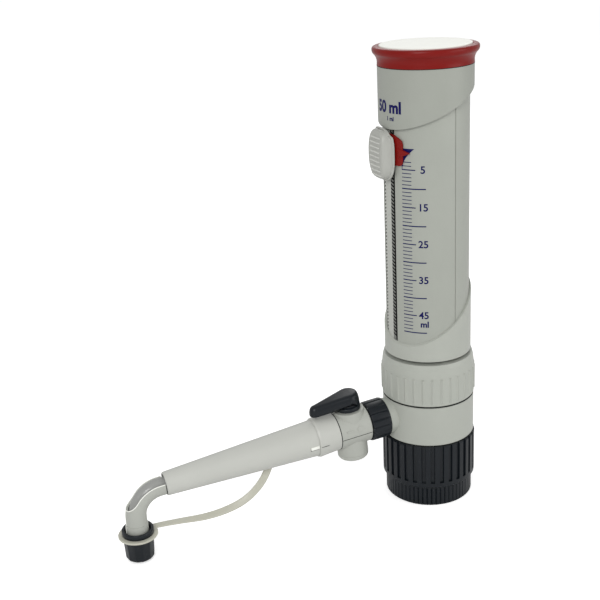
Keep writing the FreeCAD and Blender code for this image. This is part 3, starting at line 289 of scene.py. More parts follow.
# %% [markdown]
# ## Skinning rings
# Most turned and moulded forms here are rings of points with a skin between them: a lathe profile, a
# button that narrows, a lever that closes to a ridge. One function joins rings, closes the ends with a
# face where it is told to, and shades the result smooth except at edges sharper than a set angle.

# %% Skinning helpers
SHARP_ANGLE = math.radians(34)


def linked(name, data):
    """Put a mesh or a curve in the scene as an object at the origin."""
    piece = bpy.data.objects.new(name, data)
    bpy.context.scene.collection.objects.link(piece)
    return piece


def plain_mesh(piece):
    """The mesh of an object with its modifiers and curve settings worked in; the object itself goes."""
    graph = bpy.context.evaluated_depsgraph_get()
    mesh = bpy.data.meshes.new_from_object(piece.evaluated_get(graph))
    bpy.data.objects.remove(piece)
    return mesh


def told(*pieces):
    """Print how many faces each new piece has."""
    print(", ".join("%s: %d faces" % (piece.name, len(piece.data.polygons)) for piece in pieces))


def shaded(mesh, material, closed=True):
    """Merge doubles, point faces outwards on a closed form, shade by angle and give the material."""
    cleaner = bmesh.new()
    cleaner.from_mesh(mesh)
    bmesh.ops.remove_doubles(cleaner, verts=cleaner.verts, dist=0.002 * MM)
    if closed:
        bmesh.ops.recalc_face_normals(cleaner, faces=cleaner.faces)
    cleaner.to_mesh(mesh)
    cleaner.free()
    mesh.shade_smooth()
    mesh.set_sharp_from_angle(angle=SHARP_ANGLE)
    mesh.materials.clear()
    mesh.materials.append(material)
    return mesh


def skinned(name, rings, material, round_way=True, ends=True, ring_loop=False):
    """Join equal rings of points with quads. ends closes the first and last; ring_loop joins them."""
    count = len(rings[0])
    points = [point for ring in rings for point in ring]
    faces = []
    for ring in range(len(rings) if ring_loop else len(rings) - 1):
        here, there = ring * count, (ring + 1) % len(rings) * count
        for step in range(count if round_way else count - 1):
            after = (step + 1) % count
            faces.append((here + step, here + after, there + after, there + step))
    if ends and not ring_loop:
        faces.append(tuple(range(count)))
        faces.append(tuple(range(len(points) - count, len(points))))
    mesh = bpy.data.meshes.new(name)
    mesh.from_pydata(points, [], faces)
    return linked(name, shaded(mesh, material))


def turned(name, profile, material, centre=Vector((0, 0, 0)), way=Vector((0, 0, 1)), steps=96, loop=True):
    """Turn a profile of (radius, distance along the axis) in mm about an axis through a centre."""
    side = Vector((0, 1, 0))
    other = way.cross(side)
    turns = [2 * math.pi * step / steps for step in range(steps)]
    rings = []
    for radius, along in profile:
        middle = centre + way * along * MM
        rings.append([middle + (side * math.cos(turn) + other * math.sin(turn)) * radius * MM
                      for turn in turns])
    return skinned(name, rings, material, ends=not loop, ring_loop=loop)


def curved(points, rounds=2):
    """Soften a profile by cutting its corners again and again; the ends stay."""
    for turn in range(rounds):
        softer = [points[0]]
        for (x0, y0), (x1, y1) in zip(points, points[1:]):
            softer += [(0.75 * x0 + 0.25 * x1, 0.75 * y0 + 0.25 * y1),
                       (0.25 * x0 + 0.75 * x1, 0.25 * y0 + 0.75 * y1)]
        points = softer + [points[-1]]
    return points


def raised(profile, height):
    """A profile or an outline moved up to a height."""
    return [(place, height + up) for place, up in profile]


# %% [markdown]
# ## Red head and white disc
# The head is a round moulding: a short neck whose foot covers the top edge of the shell, a hollow flare,
# and a full round bead that holds the white disc almost flush. Its profile is softened, then turned.

# %% Head
NECK_R, SKIRT_DROP = 26.78, 0.7
neck_z = SLEEVE_TOP / MM + 0.35
SKIRT_Z = neck_z - SKIRT_DROP
head_outside = curved(raised([
    (NECK_R, -SKIRT_DROP), (NECK_R - 0.1, 0.6), (NECK_R - 0.05, 1.8), (27.1, 3.2), (27.9, 4.7), (29.1, 5.9),
    (HEAD_R / MM, 7.3), (HEAD_R / MM - 0.1, 8.6), (28.6, 9.3), (27.0, 9.6), (25.9, 9.5), (25.7, 9.1)], neck_z))
head_inside = raised([(25.7, 7.6), (3.0, 7.6), (3.0, 4.0), (20.4, 4.0)], neck_z) + [
    (20.4, HEAD_LOW / MM), (21.9, HEAD_LOW / MM), (21.9, neck_z), (NECK_R - 0.06, neck_z),
    (NECK_R - 0.06, SKIRT_Z)]
head = turned("head_bead", head_outside + head_inside, red_plastic, steps=128)
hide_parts("head_ring")
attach(head, "plunger")

disc_z = neck_z + 7.65
disc_profile = [(0.02, disc_z), (25.6, disc_z)] + curved(raised([
    (25.6, 1.8), (25.5, 2.3), (24.8, 2.5), (18.0, 2.62), (0.02, 2.65)], disc_z))
disc = turned("crowned_disc", disc_profile, disc_plastic, steps=128, loop=False)
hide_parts("top_disc")
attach(disc, "plunger")
told(head, disc)

# %% [markdown]
# ## Bent plates
# The slider's wing, its pointer and small raised marks are plates cut to an outline and bent round a
# cylinder. A flat curve gives the outline its fill, thickness and rounded edge. The flat mesh is then
# cut across every half millimetre, because only a finely cut plate bends smoothly.

# %% Bent plate helper
CUT_STEP = 0.5 * MM


def bent(flat_object, name, material, bend):
    """Turn a flat curve or text object to a mesh, cut it fine, and send each point through bend."""
    mesh = plain_mesh(flat_object)
    cutter = bmesh.new()
    cutter.from_mesh(mesh)
    bmesh.ops.remove_doubles(cutter, verts=cutter.verts, dist=0.001 * MM)
    reach = [vertex.co.x for vertex in cutter.verts]
    place = math.floor(min(reach) / CUT_STEP) * CUT_STEP + CUT_STEP
    while place < max(reach):
        bmesh.ops.bisect_plane(cutter, geom=cutter.verts[:] + cutter.edges[:] + cutter.faces[:],
                               plane_co=(place, 0, 0), plane_no=(1, 0, 0))
        place += CUT_STEP
    cutter.to_mesh(mesh)
    cutter.free()
    for vertex in mesh.vertices:
        vertex.co = bend(*(vertex.co / MM))
    return linked(name, shaded(mesh, material, closed=False))


def route_curve(name, kind, route, dimensions="3D"):
    """A curve of one kind of spline through a route of points."""
    curve = bpy.data.curves.new(name, "CURVE")
    curve.dimensions = dimensions
    spline = curve.splines.new(kind)
    spline.points.add(len(route) - 1)
    for point, spot in zip(spline.points, route):
        point.co = (*spot, 1)
    return curve


def plate_curve(name, outline, thick, edge):
    """A flat filled curve in metres from an outline in mm, with a rounded edge kept inside the outline."""
    curve = route_curve(name, "POLY", [(x * MM, y * MM, 0) for x, y in outline], "2D")
    curve.fill_mode = "BOTH"
    curve.splines[0].use_cyclic_u = True
    curve.extrude = (thick / 2 - edge) * MM
    curve.bevel_depth = edge * MM
    curve.bevel_resolution = 2
    curve.offset = -edge * MM
    return linked(name + "_flat", curve)


def column_plate(name, outline, inner, outer, edge, material):
    """A plate bent round the column, from an outline of (degrees, height in mm)."""
    middle = (inner + outer) / 2
    scale = math.radians(1) * middle
    flat_outline = [(degrees * scale, height) for degrees, height in outline]
    flat = plate_curve(name, flat_outline, outer - inner, edge)
    return bent(flat, name, material, lambda x, y, z: on_column(middle + z, x / scale, y))


# %% [markdown]
# ## Slider wing and pointer
# Beside the thumb button the red slider shows as a plate that hugs the sleeve, with a sloping top, a
# rounded foot and a small raised pointer that reaches over the scale.

# %% Slider wing
slide_low, slide_high = SLIDER_LOW.z / MM, SLIDER_HIGH.z / MM
WING_IN, WING_OUT = SLEEVE_R / MM + 0.2, SLEEVE_R / MM + 1.5
WING_OUTLINE = raised([
    (187.0, 1.2), (206.0, 0.8), (209.5, 1.2), (211.4, 2.4), (212.0, 4.0)], slide_low) + raised([
        (212.0, -1.0), (211.2, 0.6), (209.0, 1.5), (205.0, 2.5), (198.0, 3.9), (187.0, 4.4)], slide_high)
POINTER_OUTLINE = raised([(206.5, 5.7), (209.0, 6.0), (212.5, 6.5), (221.4, 8.1), (221.4, 8.4),
                          (212.5, 9.9), (209.0, 10.4), (206.5, 10.7)], slide_low)
wing = column_plate("slider_wing", WING_OUTLINE, WING_IN, WING_OUT, 0.45, red_plastic)
pointer = column_plate("slider_pointer", POINTER_OUTLINE, WING_IN, WING_OUT + 0.5, 0.5, red_plastic)
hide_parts("dose_pointer")
for piece in (wing, pointer):
    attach(piece, "dose_slider")
told(wing, pointer)

# %% [markdown]
# ## Thumb button
# The button is a drafted block with a thin flange at its back, full rounded corners and a crowned face.
# Rings in the shape of a rounded oblong are stacked from the back to the face. The pocket at its back,
# where it slips over the slider, is cut out afterwards. Its grip ribs follow with the other ribs.

# %% Thumb button
BUTTON_MIDDLE = 216.1
BUTTON_BACK, BUTTON_RELIEF = 26.95, 28.0
RELIEF_UP, RELIEF_RUN = 10.0, 1.5
CROWN_R, FACE_OUT = 70.0, 32.2
FACE_RINGS = 12
POCKET_SIZE, POCKET_MIDDLE = Vector((10.8, 11.8, 12.1)), Vector((-25.4, 0.0, 216.55))
FLANGE = ((10.4, 14.8, 0.1), (10.4, 14.8, 0.7), (10.15, 14.55, 0.95), (9.7, 14.1, 1.0))
BLOCK = ((9.6, 14.1, 28.6), (8.95, 13.75, 30.9), (8.7, 13.55, 31.5), (8.3, 13.1, 31.95), (7.7, 12.5, 32.15))


def oblong(half_wide, half_tall, power, steps=160):
    """Points of a rounded oblong, from a box-like power down to an ellipse at 2."""
    points = []
    for step in range(steps):
        turn = 2 * math.pi * (step + 0.5) / steps
        across, up = polar(1, turn)
        points.append((half_wide * math.copysign(abs(across) ** (2 / power), across),
                       half_tall * math.copysign(abs(up) ** (2 / power), up)))
    return points


def button_back(across, up):
    """How far the back of the button stands from the axis: deeper behind its top, to clear the shell."""
    share = min(1.0, max(0.0, (up - RELIEF_UP) / RELIEF_RUN))
    radius = BUTTON_BACK + (BUTTON_RELIEF - BUTTON_BACK) * share
    return math.sqrt(radius ** 2 - across ** 2)


def back_ring(half_wide, half_tall, lift=0.0):
    """A ring of the button's back and flange, lifted off the curve of the back."""
    return [Vector((-button_back(y, z) - lift, y, BUTTON_MIDDLE + z)) * MM
            for y, z in oblong(half_wide, half_tall, 3.2)]


def block_ring(half_wide, half_tall, out):
    """A ring of the button's block, which follows the crown of its face."""
    return [Vector((-out + z ** 2 / (2 * CROWN_R), y, BUTTON_MIDDLE + z)) * MM
            for y, z in oblong(half_wide, half_tall, 3.6)]


button_rings = [back_ring(10.4 * share, 14.8 * share) for share in (0.15, 0.4, 0.6, 0.75, 0.88, 0.97)]
button_rings += [back_ring(*sizes) for sizes in FLANGE] + [block_ring(*sizes) for sizes in BLOCK]
for index in range(1, FACE_RINGS):
    share = 1 - index / FACE_RINGS
    button_rings.append(block_ring(7.4 * share, 12.1 * share, FACE_OUT))
button = skinned("button_block", button_rings, button_plastic)

pocket = bmesh.new()
bmesh.ops.create_cube(pocket, size=1.0)
for vertex in pocket.verts:
    vertex.co = (POCKET_MIDDLE + vertex.co * POCKET_SIZE) * MM
pocket_mesh = bpy.data.meshes.new("button_pocket")
pocket.to_mesh(pocket_mesh)
pocket.free()
pocket_piece = linked("button_pocket", pocket_mesh)
cutter = button.modifiers.new("pocket", "BOOLEAN")
cutter.object = pocket_piece
cutter.operation = "DIFFERENCE"
button = linked("grip_button", shaded(plain_mesh(button), button_plastic))
bpy.data.objects.remove(pocket_piece)
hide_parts("thumb_button")
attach(button, "thumb_button")
told(button)

# %% [markdown]
# ## Ribs and marks by Geometry Nodes
# What repeats here is one modelled pattern and a tree that sets it on points: a circle of points round
# the column, or a line of them down it. Each tree ends in real geometry with its material, and its
# result is kept as a plain mesh. The three trees share their beginning and their end.

# %% Geometry Nodes helpers
def new_tree(name, inputs):
    """A geometry tree with named inputs: the tree, its input node and each input by name."""
    tree = bpy.data.node_groups.new(name + "_tree", "GeometryNodeTree")
    tree.interface.new_socket("Geometry", in_out="OUTPUT", socket_type="NodeSocketGeometry")
    sockets = {}
    for label, kind in inputs.items():
        sockets[label] = tree.interface.new_socket(label, in_out="INPUT", socket_type="NodeSocket" + kind)
    return tree, add(tree, "NodeGroupInput").outputs, sockets


def set_on_points(tree, points, pattern, material, turns=None):
    """The end of each tree: the pattern on every point, as real geometry with its material."""
    shape = add(tree, "GeometryNodeObjectInfo", {"Object": pattern})
    inputs = {"Points": points, "Instance": shape.outputs["Geometry"]}
    if turns is not None:
        inputs["Rotation"] = turns
    placed = add(tree, "GeometryNodeInstanceOnPoints", inputs)
    real = add(tree, "GeometryNodeRealizeInstances", {"Geometry": placed.outputs["Instances"]})
    coloured = add(tree, "GeometryNodeSetMaterial", {"Geometry": real.outputs["Geometry"],
                                                     "Material": material})
    add(tree, "NodeGroupOutput", {"Geometry": coloured.outputs["Geometry"]})


def line_down(tree, count, pitch):
    """Points in a line along the column, a pitch apart."""
    offset = add(tree, "ShaderNodeCombineXYZ", {"Z": pitch})
    row = add(tree, "GeometryNodeMeshLine", {"Count": count, "Offset": offset.outputs["Vector"]})
    return row.outputs["Mesh"]


def grown(name, tree, values, pattern):
    """Run a tree on an empty mesh, keep the result as a plain mesh, and drop the pattern."""
    holder = linked(name + "_holder", bpy.data.meshes.new(name + "_holder"))
    modifier = holder.modifiers.new("grow", "NODES")
    modifier.node_group = tree
    for socket, value in values.items():
        modifier[socket.identifier] = value
    made = plain_mesh(holder)
    bpy.data.objects.remove(pattern)
    return linked(name, made)


# %% [markdown]
# ## Ribs round the locking ring
# The locking ring has 32 slim ribs with rounded ends, and each point of the circle turns its rib to face
# outwards.

# %% Ribs round the locking ring
LOCK_RIB_COUNT = 32
LOCK_RIB_R, LOCK_RIB_HALF, LOCK_RIB_PROUD = 27.7, 0.34, 0.6
LOCK_RIB_LOW, LOCK_RIB_HIGH = LOCK_LOW / MM + 2.2, LOCK_LOW / MM + 17.9
RIB_SEAT = 0.3


def half_round(deep, half, size, steps):
    """Points over the back of a rib, as (out, across), at one share of its full size."""
    turns = [math.pi * step / steps for step in range(steps + 1)]
    return [(deep * size * math.sin(turn), half * size * math.cos(turn)) for turn in turns]


def upright_rib(name):
    """One rib on the +X side of the locking ring, with rounded ends."""
    levels = [(0.02, LOCK_RIB_LOW)]
    for step in range(1, 5):
        angle = step * math.pi / 8
        levels.append((math.sin(angle), LOCK_RIB_LOW + LOCK_RIB_HALF * (1 - math.cos(angle))))
    levels += [(size, LOCK_RIB_HIGH - (height - LOCK_RIB_LOW)) for size, height in reversed(levels)]
    rings = []
    for size, height in levels:
        rings.append([Vector((LOCK_RIB_R - RIB_SEAT + out, across, height)) * MM for out, across in
                      half_round(LOCK_RIB_PROUD + RIB_SEAT, LOCK_RIB_HALF, size, 8)])
    return skinned(name, rings, grey_plastic)


def repeated_round(name, pattern, count, material):
    """Repeat a pattern object round the column with Geometry Nodes."""
    tree, given, sockets = new_tree(name, {"Rib count": "Int"})
    spots = add(tree, "GeometryNodePoints", {"Count": given["Rib count"]})
    index = add(tree, "GeometryNodeInputIndex").outputs["Index"]
    step = reckon(tree, "DIVIDE", 2 * math.pi, given["Rib count"])
    turn = add(tree, "ShaderNodeCombineXYZ", {"Z": reckon(tree, "MULTIPLY", index, step)})
    set_on_points(tree, spots.outputs["Points"], pattern, material, turn.outputs["Vector"])
    return grown(name, tree, {sockets["Rib count"]: count}, pattern)


ribs = repeated_round("locking_ribs", upright_rib("locking_ribs_one"), LOCK_RIB_COUNT, grey_plastic)
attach(ribs, "locking_ring")
told(ribs)

# %% [markdown]
# ## Grip ribs of the thumb button
# Nine level ribs run down the crowned face of the button. A crown is a circle of large radius, so each
# point of the line is set back by its height squared over twice that radius.

# %% Grip ribs
GRIP_PITCH, GRIP_COUNT, GRIP_TOP = 2.6, 9, 9.4
GRIP_PROUD, GRIP_LONG_HALF, GRIP_TALL_HALF, GRIP_SEAT = 0.6, 6.2, 0.5, 0.15


def level_rib(name):
    """The top rib of the button, with rounded ends."""
    rings = []
    for step in range(17):
        size = math.sqrt(max(0.004, 1 - abs(step / 8 - 1) ** 8))
        rings.append([Vector((-FACE_OUT + GRIP_SEAT - out, GRIP_LONG_HALF * (step / 8 - 1),
                              BUTTON_MIDDLE + GRIP_TOP + up)) * MM for out, up in
                      half_round(GRIP_PROUD + GRIP_SEAT, GRIP_TALL_HALF, size, 10)])
    return skinned(name, rings, button_plastic)


def ribs_down_face(name, pattern, count, pitch_mm, crown_mm, top_mm, material):
    """Repeat a rib down a crowned face with Geometry Nodes."""
    tree, given, sockets = new_tree(name, {"Rib count": "Int", "Pitch": "Float", "Crown radius": "Float",
                                           "Top rib": "Float"})
    index = add(tree, "GeometryNodeInputIndex").outputs["Index"]
    height = reckon(tree, "MULTIPLY_ADD", index, given["Pitch"], given["Top rib"])
    back = reckon(tree, "DIVIDE", reckon(tree, "MULTIPLY", height, height),
                  reckon(tree, "MULTIPLY", given["Crown radius"], 2.0))
    shift = add(tree, "ShaderNodeCombineXYZ", {"X": back})
    crowned = add(tree, "GeometryNodeSetPosition", {
        "Geometry": line_down(tree, given["Rib count"], given["Pitch"]), "Offset": shift.outputs["Vector"]})
    set_on_points(tree, crowned.outputs["Geometry"], pattern, material)
    values = {"Rib count": count, "Pitch": -pitch_mm * MM, "Crown radius": crown_mm * MM,
              "Top rib": top_mm * MM}
    return grown(name, tree, {sockets[label]: value for label, value in values.items()}, pattern)


# The ribs take the lighter colour, a painted highlight on their crests.
button_ribs = ribs_down_face("button_ribs", level_rib("button_rib_one"), GRIP_COUNT, GRIP_PITCH, CROWN_R,
                             GRIP_TOP, rib_highlight_plastic)
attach(button_ribs, "thumb_button")
told(button_ribs)

# %% [markdown]
# ## Seams
# Where two mouldings meet, light doesn't come back out of the joint, and the eye reads a dark line.
# Each of these lines is a slim band seated in the gap between two pieces.

# %% Seams
def seam(name, body, radius, low, tall, centre=Vector((0, 0, 0)), way=Vector((0, 0, 1))):
    """A dark band in a joint: radius, start along the axis and height in mm."""
    profile = [(radius - 0.5, low), (radius, low), (radius, low + tall), (radius - 0.5, low + tall)]
    band = turned(name, profile, gap_black, centre, way)
    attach(band, body)
    return band


told(seam("seam_under_locking_ring", "valve_head", BLOCK_R / MM + 0.06, LOCK_LOW / MM - 0.45, 0.5),
     seam("seam_over_bottle_ring", "valve_head", BLOCK_R / MM + 0.06, RING_TOP / MM + 0.02, 0.45),
     seam("seam_under_head", "plunger", NECK_R + 0.02, SKIRT_Z - 0.36, 0.36),
     seam("seam_at_collar", "valve_head", 11.32, 62.75, 0.45, ARM_ROOT, ARM_WAY))

# %% [markdown]
# ## The dose scale
# The scale is printed on the sleeve beside the slider: a mark for each millilitre, longer at every
# fifth and longest at every tenth. A mark is a thin curved strip that hugs the sleeve. Each length of
# mark is one instance that Geometry Nodes repeat down the sleeve, because the rule is the same for all.

# %% Marks of the scale
DOSE_PITCH = 2.126
SCALE_ZERO = slide_high - 4.3
SCALE_START = 208.8
INK_LIFT = 0.05
INK_R = SLEEVE_R / MM + INK_LIFT


def strip(name, start, sweep, low, tall, steps=10):
    """A curved strip of ink on the sleeve."""
    rings = [[on_column(INK_R, start + sweep * index / steps, height) for height in (low, low + tall)]
             for index in range(steps + 1)]
    return skinned(name, rings, navy_ink, round_way=False, ends=False)


def repeated_down(name, pattern, count, pitch, material):
    """Repeat a pattern object down the column with Geometry Nodes."""
    tree, given, sockets = new_tree(name, {"Mark count": "Int", "Pitch": "Float"})
    set_on_points(tree, line_down(tree, given["Mark count"], given["Pitch"]), pattern, material)
    return grown(name, tree, {sockets["Mark count"]: count, sockets["Pitch"]: pitch * MM}, pattern)


def marks(name, first, step, count, sweep, tall):
    """One length of mark, repeated for its doses from the first one down the sleeve."""
    pattern = strip(name + "_one", SCALE_START, sweep, SCALE_ZERO - first * DOSE_PITCH - tall / 2, tall)
    piece = repeated_down(name, pattern, count, -step * DOSE_PITCH, navy_ink)
    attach(piece, "plunger")
    return len(piece.data.polygons)


mark_faces = 0
for ones in (6, 7, 3, 4):
    mark_faces += marks("marks_from_%d" % ones, ones, 5, 9 if ones > 5 else 10, 13.6, 0.42)
mark_faces += marks("marks_five", 5, 10, 5, 19.0, 0.6)
mark_faces += marks("marks_ten", 10, 10, 5, 32.6, 0.66)
print("scale marks:", mark_faces, "faces")

# %% [markdown]
# ## Numbers on the scale
# The numbers are plain ones, as on any dial. Each is made flat as text, turned into a mesh, cut fine
# enough to bend, and wrapped round the sleeve.

# %% Numbers
def flat_text(name, words, tall, bold):
    """A centred flat text object with a capital height in mm and a little extra weight."""
    curve = bpy.data.curves.new(name, "FONT")
    curve.body = words
    curve.size = tall * MM / 0.72
    curve.align_x = "CENTER"
    curve.align_y = "CENTER"
    curve.offset = bold * MM
    curve.resolution_u = 6
    return linked(name + "_flat", curve)


def column_text(name, words, tall, degrees, height, radius, bold):
    """Lettering wrapped on the column about a middle angle and height."""
    turn = math.degrees(1 / radius)
    piece = bent(flat_text(name, words, tall, bold), name, navy_ink,
                 lambda x, y, z: on_column(radius, degrees + x * turn, height + y))
    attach(piece, "plunger")
    return piece


SHELL_INK_R = SHELL_R / MM + INK_LIFT
told(*[column_text("number_%d" % dose, str(dose), 4.2, 237.6, SCALE_ZERO - dose * DOSE_PITCH, INK_R, 0.12)
       for dose in (5, 15, 25, 35, 45)])
told(column_text("unit_ml", "ml", 3.6, 238.5, SCALE_ZERO - 47.6 * DOSE_PITCH, INK_R, 0.18),
     column_text("capacity_50_ml", "50 ml", 6.3, 191.4, 242.2, SHELL_INK_R, 0.36),
     column_text("division_1_ml", "1 ml", 2.3, 195.5, 236.2, SHELL_INK_R, 0.13))

# %% [markdown]
# ## The blue wedge at the top of the scale
# Between zero and five millilitres the print widens into a wedge with one hollow side. The outline is
# worked out in degrees and heights and skinned straight on the sleeve.

# %% Wedge
WEDGE_ROWS, WEDGE_COLUMNS = 20, 6
WEDGE_SLIM, WEDGE_FLARE = 0.8, 17.2
wedge_top, wedge_foot = SCALE_ZERO + 1.1, SCALE_ZERO - 5 * DOSE_PITCH
wedge_rings = []
for row in range(WEDGE_ROWS + 1):
    share = row / WEDGE_ROWS
    reach = WEDGE_SLIM + WEDGE_FLARE * share ** 2
    wedge_rings.append([on_column(INK_R, SCALE_START + reach * column / WEDGE_COLUMNS,
                                  wedge_foot + (wedge_top - wedge_foot) * share)
                        for column in range(WEDGE_COLUMNS + 1)])
wedge = skinned("scale_wedge", wedge_rings, navy_ink, round_way=False, ends=False)
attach(wedge, "plunger")
told(wedge)

# %% [markdown]
# ## Stopcock lever
# The lever is a fin: a teardrop in plan, taller than it is wide, that leans down towards its tip and
# closes to a soft ridge. It stands on a turned hub with a hollow neck, which leaves the crescent of
# shade seen under it. Both are rings with a skin; the plan's two arcs shrink together, level by level.

# %% Lever
FIN_REACH = 20.9
FIN_HUB_R, FIN_TIP_R = 7.5, 3.5
FIN_TOP, FIN_FALL = 23.2, 2.7
FIN_TIP_FOOT, FIN_FOOT_RISE, FIN_BACK_DROP, FIN_BACK_RUN = 14.1, 4.2, 4.6, 5.0
FIN_LEVELS = ((0.0, 0.5), (0.06, 0.12), (0.15, 0.0), (0.45, 0.1), (0.66, 0.4), (0.8, 0.8), (0.9, 1.35),
              (0.965, 2.1), (1.0, 3.1))


def arc(middle, radius, start, sweep, steps):
    """Points of an arc about a place along the arm, as (along, across)."""
    points = [polar(radius, start + sweep * step / steps) for step in range(steps + 1)]
    return [(middle + along, across) for along, across in points]


def teardrop(hub_r, tip_r, reach):
    """Plan outline of the fin: two arcs and their common tangents."""
    lean = math.asin((hub_r - tip_r) / reach)
    sweep = math.pi + 2 * lean
    return arc(0, hub_r, math.pi / 2 - lean, sweep, 24) + arc(reach, tip_r, -math.pi / 2 - lean, sweep, 12)


def fin_foot(along):
    """Height of the fin's underside: low at its tip, hollow over the hub, low again behind it."""
    if along > 0:
        return FIN_TIP_FOOT + FIN_FOOT_RISE * (1 - min(1.0, along / FIN_REACH)) ** 2.5
    return FIN_TIP_FOOT + FIN_FOOT_RISE - FIN_BACK_DROP * min(1.0, -along / FIN_BACK_RUN) ** 2


fin_rings = []
for level, inset in FIN_LEVELS:
    ring = []
    for along, across in teardrop(FIN_HUB_R - inset, max(0.25, FIN_TIP_R - inset), FIN_REACH):
        foot = fin_foot(along)
        top = FIN_TOP - FIN_FALL * along / FIN_REACH
        ring.append(on_arm(PLUG_AT + along, across, foot + (top - foot) * level))
    fin_rings.append(ring)
fin = skinned("lever_fin", fin_rings, black_plastic)
hub_side = curved([(7.6, 13.1), (7.6, 14.9), (7.3, 15.3), (6.4, 15.6), (5.6, 16.8), (5.7, 18.2), (6.2, 19.2)])
hub_profile = [(0.02, 12.95), (7.4, 12.95)] + hub_side + [(0.02, 19.2)]
hub = turned("lever_hub", hub_profile, black_plastic, PLUG_SPOT, ARM_UP, loop=False)
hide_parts("stopcock_lever")
for piece in (fin, hub):
    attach(piece, "stopcock")
told(fin, hub)

# %% [markdown]
# ## Round boss under the stopcock
# The boss closes below in a shallow dome with a full round edge.

# %% Domed boss
dome_side = curved([(9.3, -17.2), (9.15, -18.3), (8.2, -19.2), (6.0, -19.7), (0.02, -19.9)])
boss = turned("boss_dome", [(0.02, -16.1), (9.3, -16.1)] + dome_side, valve_plastic, PLUG_SPOT, ARM_UP,
              loop=False)
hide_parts("boss_cap")
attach(boss, "valve_head")
told(boss)

# %% [markdown]
# ## Union nut
# The nut is black, with sixteen flat flutes for the fingers and a soft round shoulder on the column's
# side. Its radius is worked out ring by ring, so that each flute runs out before the shoulder.

# %% Union nut
NUT_STEPS, NUT_FLUTES = 192, 16
NUT_LAND = 0.72
nut_profile = [(11.15, 30.3, 0.0), (11.5, 30.3, 0.0), (11.8, 30.5, 0.1), (12.0, 31.0, 0.3),
               (12.05, 31.8, 0.55), (12.05, 36.0, 0.6), (12.0, 41.4, 0.6), (11.8, 42.1, 0.5),
               (11.4, 42.4, 0.3), (8.6, 42.4, 0.0), (8.6, 31.65, 0.0), (11.15, 31.65, 0.0)]


def fluted(profile, dips, spot):
    """Rings of a turned form with flutes: each step round it dips by a share of the ring's own depth."""
    return [[spot(along, *polar(radius - depth * dip, 2 * math.pi * step / len(dips)))
             for step, dip in enumerate(dips)] for radius, along, depth in profile]


nut_dips = [max(0.0, math.cos(2 * math.pi * step * NUT_FLUTES / NUT_STEPS) - NUT_LAND) / (1 - NUT_LAND)
            for step in range(NUT_STEPS)]
nut = skinned("fluted_nut", fluted(nut_profile, nut_dips, on_arm), black_plastic, ends=False, ring_loop=True)
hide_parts("union_nut")
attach(nut, "union_nut")
told(nut)

# %% [markdown]
# ## Small details of the arm
# The stopcock's housing has a parting line along its side, a dark strip of painted shade, and a raised
# bar and dot, the plain marks for shut and open. The nozzle is held to its collar by a small snap hook
# that shows as a pale tab, a painted highlight; the dark slot beside it and the split in the collar
# are painted shade.

# %% Details of the arm
def arm_plate(name, outline, radius, degrees, thick, edge, material):
    """A plate bent round the arm. The outline is (along, round) in mm, about an angle below the side."""
    flat = plate_curve(name, [(y, x) for x, y in outline], thick, edge)
    turn = math.degrees(1 / radius)
    piece = bent(flat, name, material, lambda x, y, z: arm_spot(y, degrees + x * turn, radius + z))
    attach(piece, "valve_head")
    return piece


def arm_spot(along, degrees, radius):
    """A point on a cylinder about the arm; the angle opens downwards from the side of the scale."""
    return on_arm(along, *polar(-radius, math.radians(degrees)))


def bar(start, end, half):
    """Outline of a bar along the arm."""
    return [(start, -half), (end, -half), (end, half), (start, half)]


# The parting line, the hook's slot and the collar's split are dark strips of painted shade; the hook's white
# is a painted highlight.
told(arm_plate("housing_parting_line", bar(43.2, 62.6, 0.16), 11.22, 8.5, 0.1, 0.02, gap_black),
     arm_plate("mark_shut", bar(55.6, 59.4, 0.5), 11.25, -14.0, 0.6, 0.2, valve_plastic),
     arm_plate("mark_open", arc(50.6, 1.8, 0, 2 * math.pi, 28)[:-1], 11.25, -14.0, 0.6, 0.2, valve_plastic),
     arm_plate("snap_hook", bar(77.6, 82.8, 0.9), 11.0, 4.0, 1.0, 0.3, disc_plastic),
     arm_plate("snap_hook_slot", bar(77.8, 83.0, 0.25), 10.85, 10.0, 0.3, 0.05, gap_black),
     arm_plate("collar_split", bar(71.8, 76.6, 0.14), 12.02, 5.0, 0.1, 0.02, gap_black))

# %% [markdown]
# ## Bent outlet
# The outlet is a thin tube that turns down to the tip. Its outer side is open from the nozzle's end
# almost to the foot of the bend, where the opening closes in a round end. The wall is a sheet: at each
# place along the bend it runs round the tube from one rim to the other, and Solidify gives it its
# thickness inwards. Where the opening has closed, the two rims meet and are merged.

# %% Spout
TIP_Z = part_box("spout")[0].z / MM
TIP_X = 186.6
BEND_R, SPOUT_R, SPOUT_WALL = 15.9, 6.0, 1.3
tilt = math.asin(-ARM_WAY.z)
BEND_TURN = 90 - math.degrees(tilt)
bend_middle = Vector((-(TIP_X - BEND_R), 0, 0))
bend_start = (TIP_X - BEND_R) + BEND_R * math.sin(tilt)
bend_middle.z = ARM_ROOT.z / MM - math.tan(tilt) * bend_start - BEND_R * math.cos(tilt)
WINDOW_HALF = math.radians(67.0)
WINDOW_END = 72.0
WINDOW_CLOSING = 24.0
STEP_UP, STEP_OUT = 8.9, 0.35
WALL_STEPS = 64
RIM_HIGHLIGHT_R = 0.3


def spout_frame(place):
    """Centre and outward direction at a place: mm before the bend, if negative, degrees in it, mm below."""
    if place < 0:
        return on_arm(bend_start / math.cos(tilt) + place, 0, 0) / MM, Vector(ARM_UP)
    turn = math.radians(180 - BEND_TURN + min(place, BEND_TURN))
    outward = Vector((math.cos(turn), 0, math.sin(turn)))
    return bend_middle + outward * BEND_R - Vector((0, 0, max(0.0, place - BEND_TURN))), outward


